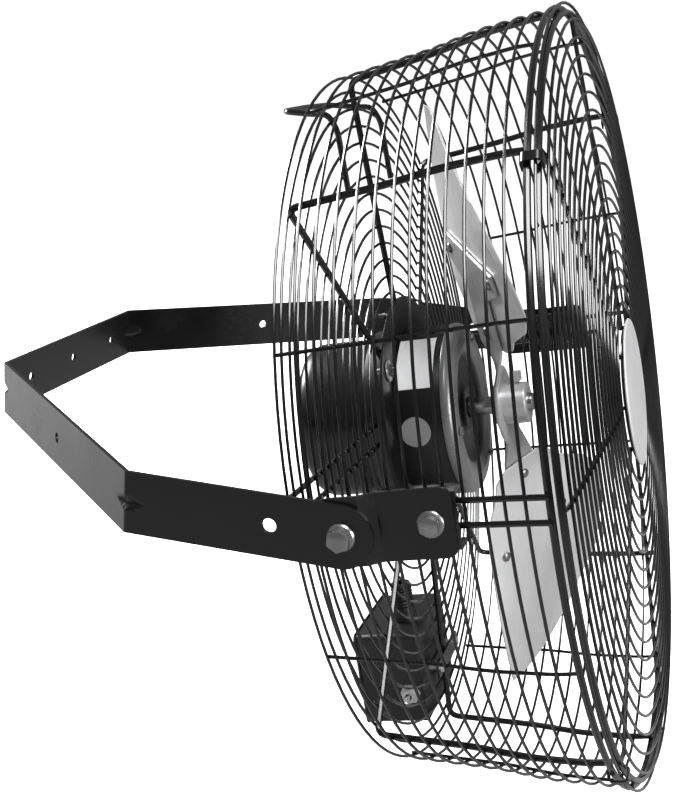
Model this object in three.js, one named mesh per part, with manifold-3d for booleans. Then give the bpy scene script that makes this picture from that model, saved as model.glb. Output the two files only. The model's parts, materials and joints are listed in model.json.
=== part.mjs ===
import * as THREE from 'three';
import Module from 'manifold-3d';
import { mergeVertices } from 'three/addons/utils/BufferGeometryUtils.js';

// Wall mounted fan, millimetres, +Z up. The wall is the plane Y = 0 and the fan blows towards -Y.
// The origin lies on the yoke's wall face, on the flat of the bar above its middle hole.

const GAP = 0.3; // clearance between neighbouring pieces
const WELD = 0.4; // depth to which one wire sinks into another at a weld
const FASTENER_SIDES = 12;
const HOLE_SIDES = 14;

// yoke, one bent flat bar
const BAR_LINE_Z = -13; // the bar's centre line, where its holes are
const BAR_HIGH = 44.5;
const BAR_THICK = 3.2;
const FACE_HALF = 125;
const ARM_X = 341.8;
const ARM_START_Y = 218;
const PIVOT_Y = 373;
const BEND_R = 7;
const FACE_HOLE_R = 4.4;
const FACE_HOLE_PITCH = 81;
const OBLIQUE_HOLE_R = 4.1;
const ARM_HOLE_R = 5.2;
const ARM_HOLE_BACK = 50;
const GUSSET_REACH = 12;
const GUSSET_R = 5.5;
const GUSSET_LIFT = 3; // its axis stands this far inside the bend

// pivot fasteners
const PIVOT_R = 5;
const PIVOT_FLANGE_R = 10;
const PIVOT_HEAD_R = 8.6;

// head
const TILT = 13.2 * Math.PI / 180;
const BRACKET_THICK = 3;
const LUG_X = 328.3;
const LUG_BOLT = { s: 59, up: 2, r: 4 };

// rear guard: stations run forward from the pivot axis along the fan axis
const THIN_R = 1.25;
const THICK_R = 2.75;
const DRUM_PROFILE = [[297.2, -49.9], [308.2, 33], [315, 66], [317.3, 80], [321.5, 120.4], [323, 136]];
const DRUM_STATIONS = [-49.9, -33.8, -18.9, -3.6, 11.2, 25.9, 40.3, 53.4, 66, 79.4, 93, 106.6, 120.4];
const RIM_REAR = { R: 322.4, s: 136.2 };
const RING_PITCH = 14.7;
const FACE_FIRST_R = 285;
const FACE_LAST_R = 96;
const FACE_S_OUTER = -49.5;
const FACE_S_INNER = -41;
const RIB_THICK_R = 2.75;
const RIB_THIN_R = 1.5;
const RIB_CORNER = 9;
const ROD_R = 2.25;
const SIDE_ROD_UP = 13;
const SIDE_ROD_LOW = -4;

// front guard
const RIM_FRONT = { R: 317.6, s: 142.6 };
const OUTER_RING = { R: 325.4, s: 142.4 };
const FRONT_COUNT = 17;
const FRONT_FIRST_R = 311.7;
const DOME_RISE = 13.1;
const DOME_FALL = 4.4;
const DOME_S = 148.3;
const BADGE_R = 63;

// motor, along the fan axis
const MOTOR_R = 75;
const MOTOR_WALL = 2.5;
const SHELL_BACK = -58;
const SHELL_FRONT = 8;
const REAR_R = 69;
const REAR_BACK = -125;
const BELL_FRONT = 20;
const SHAFT_R = 7.9;
const SHAFT_END = 73;
const BORE_R = SHAFT_R + GAP;

// turning set
const HUB_R = 18;
const HUB_BACK = 40;
const HUB_FRONT = 69;
const BLADE_TIP_R = 264;
const BLADE_ANGLE = 19.5;
const BLADE_THICK = 1.8;
const BLADE_MID_S = 50;
const TWIST_ROOT = 38;
const TWIST_TIP = 17;
const BLADE_ROOT_R = 60;

// control box on the rear face
const BOX_HALF_WIDE = 52;
const BOX_TOP = -190;
const BOX_LOW = -275;
const BOX_BACK = -110;
const BOX_FRONT = -51.6;
const BOX_WALL = 2;

const wasm = await Module();
wasm.setup();

const slots = {
  yoke_black: [0x26272a, 0.4, 0.35],
  wire_black: [0x1b1c1f, 0.5, 0.3],
  motor_black: [0x161719, 0.3, 0.4],
  bell_grey: [0x5a5c60, 0.6, 0.35],
  aluminium: [0xd2d4d6, 0.9, 0.35],
  zinc: [0xb9bcc0, 0.9, 0.3],
  shaft_steel: [0x9da0a5, 1.0, 0.25],
  core_steel: [0x55585c, 0.7, 0.55],
  copper: [0xa4623a, 0.8, 0.4],
  badge_grey: [0xc9cacc, 0.2, 0.45],
  label_white: [0xe9e9e6, 0.0, 0.6],
  sticker_grey: [0xa9abad, 0.1, 0.5],
  box_black: [0x2a2b2d, 0.1, 0.5],
  plastic_black: [0x131416, 0.0, 0.55]
};

const rad = (deg) => deg * Math.PI / 180;

function bare(geometry) {
  const g = geometry.clone();
  g.deleteAttribute('normal');
  g.deleteAttribute('uv');
  return mergeVertices(g, 1e-4);
}

function solid(geometry) {
  const g = bare(geometry);
  return new wasm.Manifold(new wasm.Mesh({
    numProp: 3,
    vertProperties: new Float32Array(g.attributes.position.array),
    triVerts: new Uint32Array(g.index.array)
  }));
}

function surface(manifold) {
  const m = manifold.getMesh();
  const g = new THREE.BufferGeometry();
  const flat = [];
  for (let i = 0; i < m.vertProperties.length; i += m.numProp) {
    flat.push(m.vertProperties[i], m.vertProperties[i + 1], m.vertProperties[i + 2]);
  }
  g.setAttribute('position', new THREE.Float32BufferAttribute(flat, 3));
  g.setIndex(Array.from(m.triVerts));
  g.computeVertexNormals();
  return g;
}

function joined(geometries) {
  return wasm.Manifold.union(geometries.map(solid));
}

function cut(geometry, cutters) {
  return surface(solid(geometry).subtract(joined(cutters)));
}

function named(name, geometry, slot) {
  const [color, metalness, roughness] = slots[slot];
  const mesh = new THREE.Mesh(geometry, new THREE.MeshStandardMaterial({ color, metalness, roughness }));
  mesh.name = name;
  mesh.userData.slot = slot;
  return mesh;
}

// A round bar along an axis, given as a profile of [radius, station] pairs about local +Y.
function turned(profile, sides, startAngle = 0) {
  return new THREE.LatheGeometry(profile.map(([r, y]) => new THREE.Vector2(r, y)), sides, startAngle);
}

function rod(radius, from, to, sides) {
  return turned([[0, from], [radius, from], [radius, to], [0, to]], sides);
}

// Local +Y of a turned shape onto the given direction.
function aim(geometry, direction) {
  const q = new THREE.Quaternion().setFromUnitVectors(new THREE.Vector3(0, 1, 0), direction);
  return geometry.applyQuaternion(q);
}

const FORWARD = new THREE.Vector3(0, -1, 0);
const alongFan = (geometry) => aim(geometry, FORWARD);

// A prism along +Z from a plan outline.
function prism(outline, height) {
  const shape = new THREE.Shape(outline.map(([x, y]) => new THREE.Vector2(x, y)));
  return new THREE.ExtrudeGeometry(shape, { depth: height, bevelEnabled: false });
}

// A plate in a plane seen along X: outline points are [y, z].
function plateX(outline, x0, thick) {
  const g = prism(outline, thick);
  g.rotateZ(Math.PI / 2);
  g.rotateY(Math.PI / 2);
  return g.translate(x0, 0, 0);
}

function hexagon(radius) {
  return Array.from({ length: 6 }, (_, i) => {
    const a = i * Math.PI / 3;
    return [radius * Math.cos(a), radius * Math.sin(a)];
  });
}

function arcPoints(cx, cy, r, a0, a1, steps) {
  return Array.from({ length: steps + 1 }, (_, i) => {
    const a = a0 + (a1 - a0) * i / steps;
    return [cx + r * Math.cos(a), cy + r * Math.sin(a)];
  });
}

// Flanged hex bolt along +Y: flange from 0, head above, shank below.
function hexBolt(shankR, shankLong, flangeR, headR, headHigh) {
  const parts = [
    turned([[0, -shankLong], [shankR, -shankLong], [shankR, 0],
      [flangeR, 0], [flangeR, 1.2], [headR, 2.2], [0, 2.2]], FASTENER_SIDES)
  ];
  const hex = prism(hexagon(headR), headHigh);
  hex.rotateX(-Math.PI / 2).translate(0, 2, 0);
  parts.push(hex);
  return surface(joined(parts));
}

function hexNut(boreR, flangeR, bodyR, high) {
  const flange = turned([[boreR, 0], [flangeR, 0], [flangeR, 1], [bodyR, 1.8], [boreR, 1.8], [boreR, 0]],
    FASTENER_SIDES);
  const hex = prism(hexagon(bodyR), high);
  hex.rotateX(-Math.PI / 2).translate(0, 1.4, 0);
  const body = solid(hex).subtract(solid(rod(boreR, -1, high + 3, FASTENER_SIDES)));
  return surface(body.add(solid(flange)));
}

// Wire along a path of points lying in one plane with the given normal; the ends are closed flat.
function wire(path, radius, sides, normal) {
  const points = path.map((p) => new THREE.Vector3(...p));
  const flat = [];
  const index = [];
  const n = points.length;
  points.forEach((p, i) => {
    const before = points[Math.max(i - 1, 0)];
    const after = points[Math.min(i + 1, n - 1)];
    const back = (i > 0 ? p.clone().sub(before) : after.clone().sub(p)).normalize();
    const ahead = (i < n - 1 ? after.clone().sub(p) : back.clone()).normalize();
    const tangent = back.clone().add(ahead).normalize();
    const across = new THREE.Vector3().crossVectors(normal, tangent).normalize();
    const mitre = 1 / Math.max(tangent.dot(back), 0.5);
    for (let k = 0; k < sides; k += 1) {
      const a = 2 * Math.PI * (k + 0.5) / sides;
      const v = p.clone().addScaledVector(across, radius * mitre * Math.cos(a));
      v.addScaledVector(normal, radius * Math.sin(a));
      flat.push(v.x, v.y, v.z);
    }
  });
  for (let i = 0; i < n - 1; i += 1) {
    for (let k = 0; k < sides; k += 1) {
      const a = i * sides + k;
      const b = i * sides + (k + 1) % sides;
      index.push(a, b, b + sides, a, b + sides, a + sides);
    }
  }
  for (let k = 1; k < sides - 1; k += 1) {
    index.push(0, k + 1, k);
    const e = (n - 1) * sides;
    index.push(e, e + k, e + k + 1);
  }
  const g = new THREE.BufferGeometry();
  g.setAttribute('position', new THREE.Float32BufferAttribute(flat, 3));
  g.setIndex(index);
  g.computeVertexNormals();
  return g;
}

const fan = new THREE.Group();
fan.name = 'wall_mounted_fan';

// Everything is laid out about the bar's centre line.
const onBar = new THREE.Group();
onBar.name = 'on_bar_line';
onBar.position.z = BAR_LINE_Z;
fan.add(onBar);

// ---------------------------------------------------------------- yoke

// Right half of the bar's wall-side line, from the middle of the wall face to the arm's end.
const slope = Math.atan2(ARM_START_Y, ARM_X - FACE_HALF);
const armEnd = PIVOT_Y + BAR_HIGH / 2;

function barSide(inset) {
  const turn = inset * Math.tan(slope / 2);
  const turnArm = inset * Math.tan((Math.PI / 2 - slope) / 2);
  const r = BEND_R - inset;
  const p1 = [FACE_HALF - turn, inset];
  const p2 = [ARM_X - inset, ARM_START_Y + turnArm];
  const c1 = [p1[0] - r * Math.tan(slope / 2), BEND_R];
  const points = arcPoints(c1[0], c1[1], r, -Math.PI / 2, slope - Math.PI / 2, 3);
  const c2y = p2[1] + r * Math.tan((Math.PI / 2 - slope) / 2);
  points.push(...arcPoints(p2[0] - r, c2y, r, slope - Math.PI / 2, 0, 3));
  points.push([ARM_X - inset, armEnd]);
  return points;
}

const outerRight = barSide(0);
const innerRight = barSide(BAR_THICK);
const mirror = (points) => points.map(([x, y]) => [-x, y]);
const plan = [
  ...outerRight,
  ...innerRight.slice().reverse(),
  ...mirror(innerRight),
  ...mirror(outerRight).reverse()
].map(([x, y]) => [x, -y]).reverse();

const bar = prism(plan, BAR_HIGH).translate(0, 0, -BAR_HIGH / 2);

// The arm ends are round about the pivot.
function armTip(side) {
  const block = prism([[-1, -30], [30, -30], [30, 30], [-1, 30]], 12);
  block.rotateZ(Math.PI / 2).rotateY(Math.PI / 2);
  const round = rod(BAR_HIGH / 2, -1, 13, 16).rotateZ(-Math.PI / 2);
  const waste = solid(block.rotateX(Math.PI)).subtract(solid(round));
  return waste.translate([side * ARM_X - 6, -PIVOT_Y, 0]);
}

function spindle(radius, half) {
  return turned([[0, -half], [radius, -half * 0.3], [radius, half * 0.3], [0, half]], 6);
}

// Gusset at a bend: raised inside the bend and dented outside it.
function gusset(x, y, a0, a1) {
  const mid = (a0 + a1) / 2;
  const along = new THREE.Vector3(Math.cos(mid), -Math.sin(mid), 0);
  const inward = [-Math.sin(mid), -Math.cos(mid)];
  const rise = BAR_THICK / Math.cos((a1 - a0) / 2);
  const add = aim(spindle(GUSSET_R, GUSSET_REACH), along).translate(
    x + inward[0] * (rise + GUSSET_LIFT), -y + inward[1] * (rise + GUSSET_LIFT), 0);
  const take = aim(spindle(GUSSET_R * 0.75, GUSSET_REACH * 0.8), along).translate(
    x - inward[0] * 0.4, -y - inward[1] * 0.4, 0);
  return { add, take };
}

const gussets = [
  gusset(FACE_HALF, 0, 0, slope),
  gusset(ARM_X, ARM_START_Y, slope, Math.PI / 2)
];
const bumps = gussets.map((g) => g.add);
const dents = gussets.map((g) => g.take);
const flipX = (g) => solid(g).mirror([1, 0, 0]);

const holeY = (x, r) => rod(r, -3, BAR_THICK + 3, HOLE_SIDES).rotateX(Math.PI).translate(x, 0, 0);
let yoke = solid(bar);
bumps.forEach((g) => {
  yoke = yoke.add(solid(g)).add(flipX(g));
});
dents.forEach((g) => {
  yoke = yoke.subtract(solid(g)).subtract(flipX(g));
});
[-FACE_HOLE_PITCH, 0, FACE_HOLE_PITCH].forEach((x) => {
  yoke = yoke.subtract(solid(holeY(x, FACE_HOLE_R)));
});
[-1, 1].forEach((side) => {
  const middle = [side * (FACE_HALF + ARM_X) / 2, -ARM_START_Y / 2];
  const out = new THREE.Vector3(side * Math.sin(slope), Math.cos(slope), 0);
  const oblique = aim(rod(OBLIQUE_HOLE_R, -8, 8, HOLE_SIDES), out).translate(middle[0], middle[1], 0);
  yoke = yoke.subtract(solid(oblique));
  const arm = rod(ARM_HOLE_R, -8, 8, HOLE_SIDES).rotateZ(Math.PI / 2);
  yoke = yoke.subtract(solid(arm.translate(side * ARM_X, ARM_HOLE_BACK - PIVOT_Y, 0)));
  const pivot = rod(PIVOT_R + GAP, -8, 8, HOLE_SIDES).rotateZ(Math.PI / 2);
  yoke = yoke.subtract(solid(pivot.translate(side * ARM_X, -PIVOT_Y, 0)));
  yoke = yoke.subtract(armTip(side));
});
onBar.add(named('wall_yoke', surface(yoke), 'yoke_black'));

const sides = [['left', 1], ['right', -1]];
const outward = (side) => new THREE.Vector3(side, 0, 0);

const boltShank = 20;
sides.forEach(([label, side]) => {
  const bolt = aim(hexBolt(PIVOT_R, boltShank, PIVOT_FLANGE_R, PIVOT_HEAD_R, 6.2), outward(side));
  bolt.translate(side * (ARM_X + GAP), -PIVOT_Y, 0);
  onBar.add(named(`pivot_bolt_${label}`, bolt, 'zinc'));
  const nut = aim(hexNut(PIVOT_R + 0.05, PIVOT_FLANGE_R, PIVOT_HEAD_R, 7), outward(-side));
  nut.translate(side * (ARM_X - BAR_THICK - BRACKET_THICK - 2 * GAP), -PIVOT_Y, 0);
  onBar.add(named(`pivot_nut_${label}`, nut, 'zinc'));
});

// ---------------------------------------------------------------- head

const head = new THREE.Group();
head.name = 'head';
head.position.set(0, -PIVOT_Y, 0);
head.rotation.x = -TILT;
onBar.add(head);

// A point of the head from angle round the fan axis (0 up, positive towards -X), radius, station.
const polar = (deg, r, s) => [-Math.sin(rad(deg)) * r, -s, Math.cos(rad(deg)) * r];
const tangentAt = (deg) => new THREE.Vector3(-Math.cos(rad(deg)), 0, -Math.sin(rad(deg)));

// Pivot bracket: a plate inside the yoke arm, joggled inwards to a flange on the guard lug.
function bracketGeometry(side) {
  const outerX = ARM_X - BAR_THICK - GAP;
  const innerX = LUG_X + GAP + BRACKET_THICK;
  const path = [
    [outerX, 26], [outerX, -14], [innerX, -24], [innerX, -75], [innerX - BRACKET_THICK, -75],
    [innerX - BRACKET_THICK, -22.4], [outerX - BRACKET_THICK, -12.4], [outerX - BRACKET_THICK, 26]
  ];
  const blank = prism(path, 60).translate(0, 0, -30);
  const corner = 7;
  const low = -22;
  const high = 26;
  const outline = [
    ...arcPoints(-75 + corner, low + corner, corner, Math.PI, 1.5 * Math.PI, 3),
    ...arcPoints(26 - 19, low + 19, 19, 1.5 * Math.PI, 2 * Math.PI, 4),
    ...arcPoints(26 - 19, high - 19, 19, 0, 0.5 * Math.PI, 4),
    ...arcPoints(-75 + corner, high - corner, corner, 0.5 * Math.PI, Math.PI, 3)
  ];
  const profile = plateX(outline, outerX - 30, 40);
  let body = solid(blank).intersect(solid(profile));
  const pivotHole = rod(PIVOT_R + GAP, outerX - 10, outerX + 4, HOLE_SIDES).rotateZ(-Math.PI / 2);
  body = body.subtract(solid(pivotHole));
  const lugHole = rod(LUG_BOLT.r + GAP, innerX - 10, innerX + 4, HOLE_SIDES).rotateZ(-Math.PI / 2);
  body = body.subtract(solid(lugHole.translate(0, -LUG_BOLT.s, LUG_BOLT.up)));
  return surface(side > 0 ? body : body.mirror([1, 0, 0]));
}

sides.forEach(([label, side]) => {
  head.add(named(`pivot_bracket_${label}`, bracketGeometry(side), 'yoke_black'));
  const bolt = aim(hexBolt(LUG_BOLT.r, 11.5, 9.5, 7.5, 5), outward(side));
  bolt.translate(side * (LUG_X + BRACKET_THICK + 2 * GAP), -LUG_BOLT.s, LUG_BOLT.up);
  head.add(named(`bracket_bolt_${label}`, bolt, 'zinc'));
  const nut = aim(hexNut(LUG_BOLT.r + 0.05, 6.9, 6.4, 3.4), outward(-side));
  nut.translate(side * (LUG_X - 2 - GAP), -LUG_BOLT.s, LUG_BOLT.up);
  head.add(named(`bracket_nut_${label}`, nut, 'zinc'));
});

// ---------------------------------------------------------------- guards

// Ring and rib wires either sink into each other (welded) or pass just clear (laid).
const LAID = 0.35;

// Closed ring about the fan axis. Its flats face the ribs, and they touch the true circle.
function ring(R, s, wireR, segments, corners, point = 0) {
  const grow = 1 / Math.cos(Math.PI / segments);
  const section = Array.from({ length: corners + 1 }, (_, k) => {
    const a = point + 2 * Math.PI * k / corners;
    return [(R + wireR * Math.cos(a)) * grow, s + wireR * Math.sin(a)];
  });
  section[corners] = section[0];
  return alongFan(turned(section, segments, Math.PI / segments));
}

// Ring segment counts fall with the radius and stay multiples of eight.
const segmentsFor = (R) => (R > 160 ? 24 : 16);
const TRIANGLE = 1.25; // a three-sided wire is this much larger, to keep its weight of line
const SQUARE = 1.25; // and so is a square one
const RING_FLAT = THIN_R * TRIANGLE / 2; // from a thin ring's centre line to its flat
const ribFlat = (r) => r * SQUARE * Math.SQRT1_2;
const UP_POINT = Math.PI / 2;

function drumRadius(station) {
  const i = Math.max(1, DRUM_PROFILE.findIndex(([, s]) => s >= station));
  const [r0, s0] = DRUM_PROFILE[i - 1];
  const [r1, s1] = DRUM_PROFILE[i];
  return r0 + (r1 - r0) * (station - s0) / (s1 - s0);
}

const drumKnees = DRUM_PROFILE.slice(1, -1).map(([, s]) => s).reverse();

const faceStation = (R) => FACE_S_INNER
  + (FACE_S_OUTER - FACE_S_INNER) * (R - FACE_LAST_R) / (FACE_FIRST_R - FACE_LAST_R);

function rearRib(deg, thick, innerR, welded) {
  const r = thick ? RIB_THICK_R : RIB_THIN_R;
  const inset = RING_FLAT + ribFlat(r) + (welded ? -WELD : LAID);
  const endLift = welded ? 0 : WELD + LAID;
  const drumAt = (s) => drumRadius(s) - inset;
  const path = [
    [RIM_REAR.R - THICK_R - ribFlat(r) + 2 * WELD, RIM_REAR.s + 1.5],
    ...drumKnees.map((s) => [drumAt(s), s])
  ];
  if (thick) {
    const depth = (R) => faceStation(R) + inset;
    const low = depth(FACE_FIRST_R);
    const wide = drumAt(-49.9);
    path.push([wide, low + RIB_CORNER]);
    path.push([wide - RIB_CORNER * 0.3, low + RIB_CORNER * 0.3]);
    path.push([wide - RIB_CORNER, low]);
    path.push([FACE_LAST_R + 10, depth(FACE_LAST_R + 10)]);
    path.push([FACE_LAST_R, depth(FACE_LAST_R) - endLift]);
    path.push([innerR, depth(innerR)]);
  } else {
    path.push([drumAt(-49.9) + endLift, -48]);
    path.push([drumAt(-49.9) + endLift, -52]);
  }
  return wire(path.map(([R, s]) => polar(deg, R, s)), r * SQUARE, 4, tangentAt(deg));
}

// Rods at the sides, outside the rings, that carry the lug and run on over the rear face.
function sideRod(side, up, frontS, welded) {
  const r = ROD_R;
  const out = RING_FLAT * 2 + ribFlat(r) + (welded ? -WELD : LAID);
  const drumAt = (s) => Math.sqrt((drumRadius(s) + out) ** 2 - up ** 2);
  const depth = (R) => faceStation(R) - out;
  const low = depth(FACE_FIRST_R);
  const wide = drumAt(-49.9);
  const path = [
    [RIM_REAR.R + THICK_R + ribFlat(r) - 2 * WELD, frontS],
    ...drumKnees.map((s) => [drumAt(s), s]),
    [wide, low + RIB_CORNER],
    [wide - RIB_CORNER * 0.3, low + RIB_CORNER * 0.3],
    [wide - RIB_CORNER, low],
    [84, depth(84)]
  ];
  return wire(path.map(([x, s]) => [side * x, -s, up]), r * SQUARE, 4, new THREE.Vector3(0, 0, 1));
}

const rearParts = [];
DRUM_STATIONS.forEach((s, i) => {
  rearParts.push(ring(drumRadius(s), s, THIN_R * TRIANGLE, i === 0 ? 32 : 24, 3));
});
for (let R = FACE_FIRST_R; R > FACE_LAST_R - 1; R -= RING_PITCH) {
  rearParts.push(ring(R, faceStation(R), THIN_R * TRIANGLE, segmentsFor(R), 3, -UP_POINT));
}
rearParts.push(ring(RIM_REAR.R, RIM_REAR.s, THICK_R, 32, 6));
for (let i = 0; i < 8; i += 1) {
  if (i % 4 !== 2) {
    rearParts.push(rearRib(i * 45, true, 84, i % 4 === 0));
  }
  rearParts.push(rearRib(i * 45 + 22.5, false, 0, false));
}
sides.forEach(([, side]) => {
  rearParts.push(sideRod(side, SIDE_ROD_UP, RIM_REAR.s + 1.3, false));
  rearParts.push(sideRod(side, SIDE_ROD_LOW, RIM_REAR.s + 1.3, false));
});
// Side lugs that carry the pivot brackets.
const lugInner = 319.6;
const lugBlocks = sides.map(([, side]) => {
  const plate = plateX([[-77, -18], [-23, -18], [-23, 22], [-77, 22]], LUG_X - 2, 2);
  const webs = [-18, 20].map((z) => plateX([[-77, z], [-23, z], [-23, z + 2], [-77, z + 2]], lugInner - 12,
    LUG_X - lugInner + 12 - 1));
  const body = joined([plate, ...webs]);
  const bore = rod(LUG_BOLT.r + GAP, 300, 340, 16).rotateZ(-Math.PI / 2);
  const lug = body.subtract(solid(bore.translate(0, -LUG_BOLT.s, LUG_BOLT.up)));
  return side > 0 ? lug : lug.mirror([1, 0, 0]);
});
const rear = wasm.Manifold.union([...rearParts.map(solid), ...lugBlocks]);
head.add(named('rear_guard', surface(rear), 'wire_black'));

const domeStation = (R) => {
  const t = (FRONT_FIRST_R - R) / (RING_PITCH * (FRONT_COUNT - 1));
  return DOME_S + DOME_RISE * t - DOME_FALL * t * t;
};

function frontRib(deg, welded) {
  const inset = RING_FLAT + ribFlat(RIB_THIN_R * 1.2) + (welded ? -WELD : LAID);
  const lift = welded ? 0 : WELD + LAID;
  const path = [
    [RIM_FRONT.R - 1, RIM_FRONT.s + 1],
    [FRONT_FIRST_R - 2, domeStation(FRONT_FIRST_R) - inset],
    [250, domeStation(250) - inset],
    [150, domeStation(150) - inset],
    [BADGE_R + 4, domeStation(BADGE_R + 4) - inset],
    [BADGE_R - 5, domeStation(BADGE_R - 7) - inset + lift],
    [BADGE_R - 9, domeStation(BADGE_R - 7) - inset + lift]
  ];
  return wire(path.map(([R, s]) => polar(deg, R, s)), RIB_THIN_R * 1.2 * SQUARE, 4, tangentAt(deg));
}

const frontParts = [];
for (let i = 0; i < FRONT_COUNT; i += 1) {
  const R = FRONT_FIRST_R - RING_PITCH * i;
  frontParts.push(ring(R, domeStation(R), THIN_R * TRIANGLE, segmentsFor(R), 3, UP_POINT));
}
frontParts.push(ring(RIM_FRONT.R, RIM_FRONT.s, THICK_R, 32, 6));
frontParts.push(ring(OUTER_RING.R, OUTER_RING.s, THIN_R * TRIANGLE, 32, 4));
for (let i = 0; i < 8; i += 1) {
  frontParts.push(frontRib(i * 45, i === 0));
  const tie = wire([[RIM_FRONT.R, 142.5], [OUTER_RING.R, 142.5]].map(([R, s]) => polar(i * 45 + 11.25, R, s)),
    1.5, 4, tangentAt(i * 45 + 11.25));
  frontParts.push(tie);
}
frontParts.push(ring(BADGE_R - 7, domeStation(BADGE_R - 7), THIN_R * TRIANGLE, 16, 3, UP_POINT));
head.add(named('front_guard', surface(joined(frontParts)), 'wire_black'));

const badgeBack = domeStation(BADGE_R) + THIN_R * TRIANGLE + GAP;
const badge = turned([[0, badgeBack], [BADGE_R - 1.5, badgeBack], [BADGE_R, badgeBack + 0.8],
  [BADGE_R - 1, badgeBack + 2], [BADGE_R - 4, badgeBack + 2.4], [0, badgeBack + 3.4]], 32);
head.add(named('centre_badge', alongFan(badge), 'badge_grey'));

// Clips: a channel over both thick rims, beside each diagonal rib. The outline is [radius, station].
const CLIP_ANGLES = [47.5, 137.5, -137.5, -47.5];
const CLIP_WIDE = 12;
const clipOutline = [
  [316.8, 131.4], [331, 131.4], [331, 147.9], [316.8, 147.9],
  [316.8, 146], [329.2, 146], [329.2, 133.1], [316.8, 133.1]
];
const radialStand = new THREE.Matrix4().makeBasis(
  new THREE.Vector3(0, 0, 1), new THREE.Vector3(0, -1, 0), new THREE.Vector3(1, 0, 0));
CLIP_ANGLES.forEach((deg, i) => {
  const clip = prism(clipOutline, CLIP_WIDE).translate(0, 0, -CLIP_WIDE / 2);
  clip.applyMatrix4(radialStand).rotateY(-rad(deg));
  head.add(named(`guard_clip_${i + 1}`, clip, 'yoke_black'));
});

// Handle: both legs lie inside the rear face, pass out between two rings and meet behind it.
const HANDLE_R = 2.6;
const handleHalf = [
  [67, 204, -41.6], [67, 240, -42.6], [67, 256, -43.2], [66.8, 266.6, -44.6], [66.6, 269.7, -49.6],
  [66.2, 271, -58], [65.5, 273, -72], [61, 276.6, -85], [50, 278, -89.5], [0, 278.4, -90]
];
const handlePath = new THREE.CatmullRomCurve3([
  ...handleHalf,
  ...handleHalf.slice(0, -1).reverse().map(([x, up, s]) => [-x, up, s])
].map(([x, up, s]) => new THREE.Vector3(x, -s, up)), false, 'chordal');
const handleSection = new THREE.Shape(hexagon(HANDLE_R).map(([x, y]) => new THREE.Vector2(x, y)));
const handle = new THREE.ExtrudeGeometry(handleSection, {
  steps: 30, extrudePath: handlePath, bevelEnabled: false
});
head.add(named('carry_handle', handle, 'wire_black'));

// ---------------------------------------------------------------- motor

const OUTER_SIDES = 28; // motor skins
const INNER_SIDES = 16; // pieces inside the motor

function turnedPiece(parent, name, profile, segments, slot, cutters = []) {
  const body = alongFan(turned(profile, segments));
  parent.add(named(name, cutters.length ? cut(body, cutters) : body, slot));
}

function tube(inner, outer, back, front) {
  return [[inner, back], [outer, back], [outer, front], [inner, front], [inner, back]];
}

// A round cutter or pin along the fan axis, standing off it.
function offAxis(geometry, deg, circle, s = 0) {
  const [x, , z] = polar(deg, circle, 0);
  return alongFan(geometry).translate(x, -s, z);
}

const PLATE_BACK = FACE_S_INNER + RING_FLAT + 2 * ribFlat(RIB_THICK_R) + 1;
const PLATE_THICK = 3;
const PLATE_FRONT = PLATE_BACK + PLATE_THICK;
const PLATE_R = 104;
const BOLT_CIRCLE = 90;
const BOLT_ANGLES = [53, 127, -127, -53];
const MOTOR_BOLT_R = 3;
turnedPiece(head, 'motor_mount_plate', tube(MOTOR_R + GAP, PLATE_R, PLATE_BACK, PLATE_FRONT), OUTER_SIDES,
  'motor_black', BOLT_ANGLES.map((deg) => offAxis(
    rod(MOTOR_BOLT_R + GAP, PLATE_BACK - 2, PLATE_FRONT + 2, FASTENER_SIDES), deg, BOLT_CIRCLE)));
BOLT_ANGLES.forEach((deg, i) => {
  const bolt = offAxis(hexBolt(MOTOR_BOLT_R, 12, 9.5, 6, 4), deg, BOLT_CIRCLE, PLATE_FRONT + GAP);
  head.add(named(`motor_bolt_${i + 1}`, bolt, 'zinc'));
});

const SHELL_IN = MOTOR_R - MOTOR_WALL;
const CORE_R = SHELL_IN - 1; // what stands inside the shell, less its facets
turnedPiece(head, 'motor_shell', tube(SHELL_IN, MOTOR_R, SHELL_BACK, SHELL_FRONT), OUTER_SIDES, 'motor_black');

const REAR_WALL = 2.5;
turnedPiece(head, 'motor_rear_housing', [
  [0, REAR_BACK], [57, REAR_BACK], [65, REAR_BACK + 3.5], [REAR_R, REAR_BACK + 11],
  [REAR_R, SHELL_BACK - GAP], [REAR_R - REAR_WALL, SHELL_BACK - GAP], [REAR_R - REAR_WALL, REAR_BACK + 12],
  [62, REAR_BACK + 5.4], [55, REAR_BACK + REAR_WALL], [0, REAR_BACK + REAR_WALL]
], OUTER_SIDES, 'motor_black');

// Bearings sit in the rear shield's and the front bell's bosses.
const BEARING_R = 17;
const BEARING_LONG = 9;
const SEAT_R = BEARING_R + 0.5;
const REAR_SEAT = SHELL_BACK - 10;
const FRONT_SEAT = 3.3;
turnedPiece(head, 'motor_rear_shield', [
  [BORE_R + 0.5, REAR_SEAT - 3], [22, REAR_SEAT - 3], [24, SHELL_BACK], [CORE_R, SHELL_BACK],
  [CORE_R, SHELL_BACK + 3], [SEAT_R, SHELL_BACK + 3], [SEAT_R, REAR_SEAT],
  [BORE_R + 0.5, REAR_SEAT], [BORE_R + 0.5, REAR_SEAT - 3]
], INNER_SIDES, 'motor_black');

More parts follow.
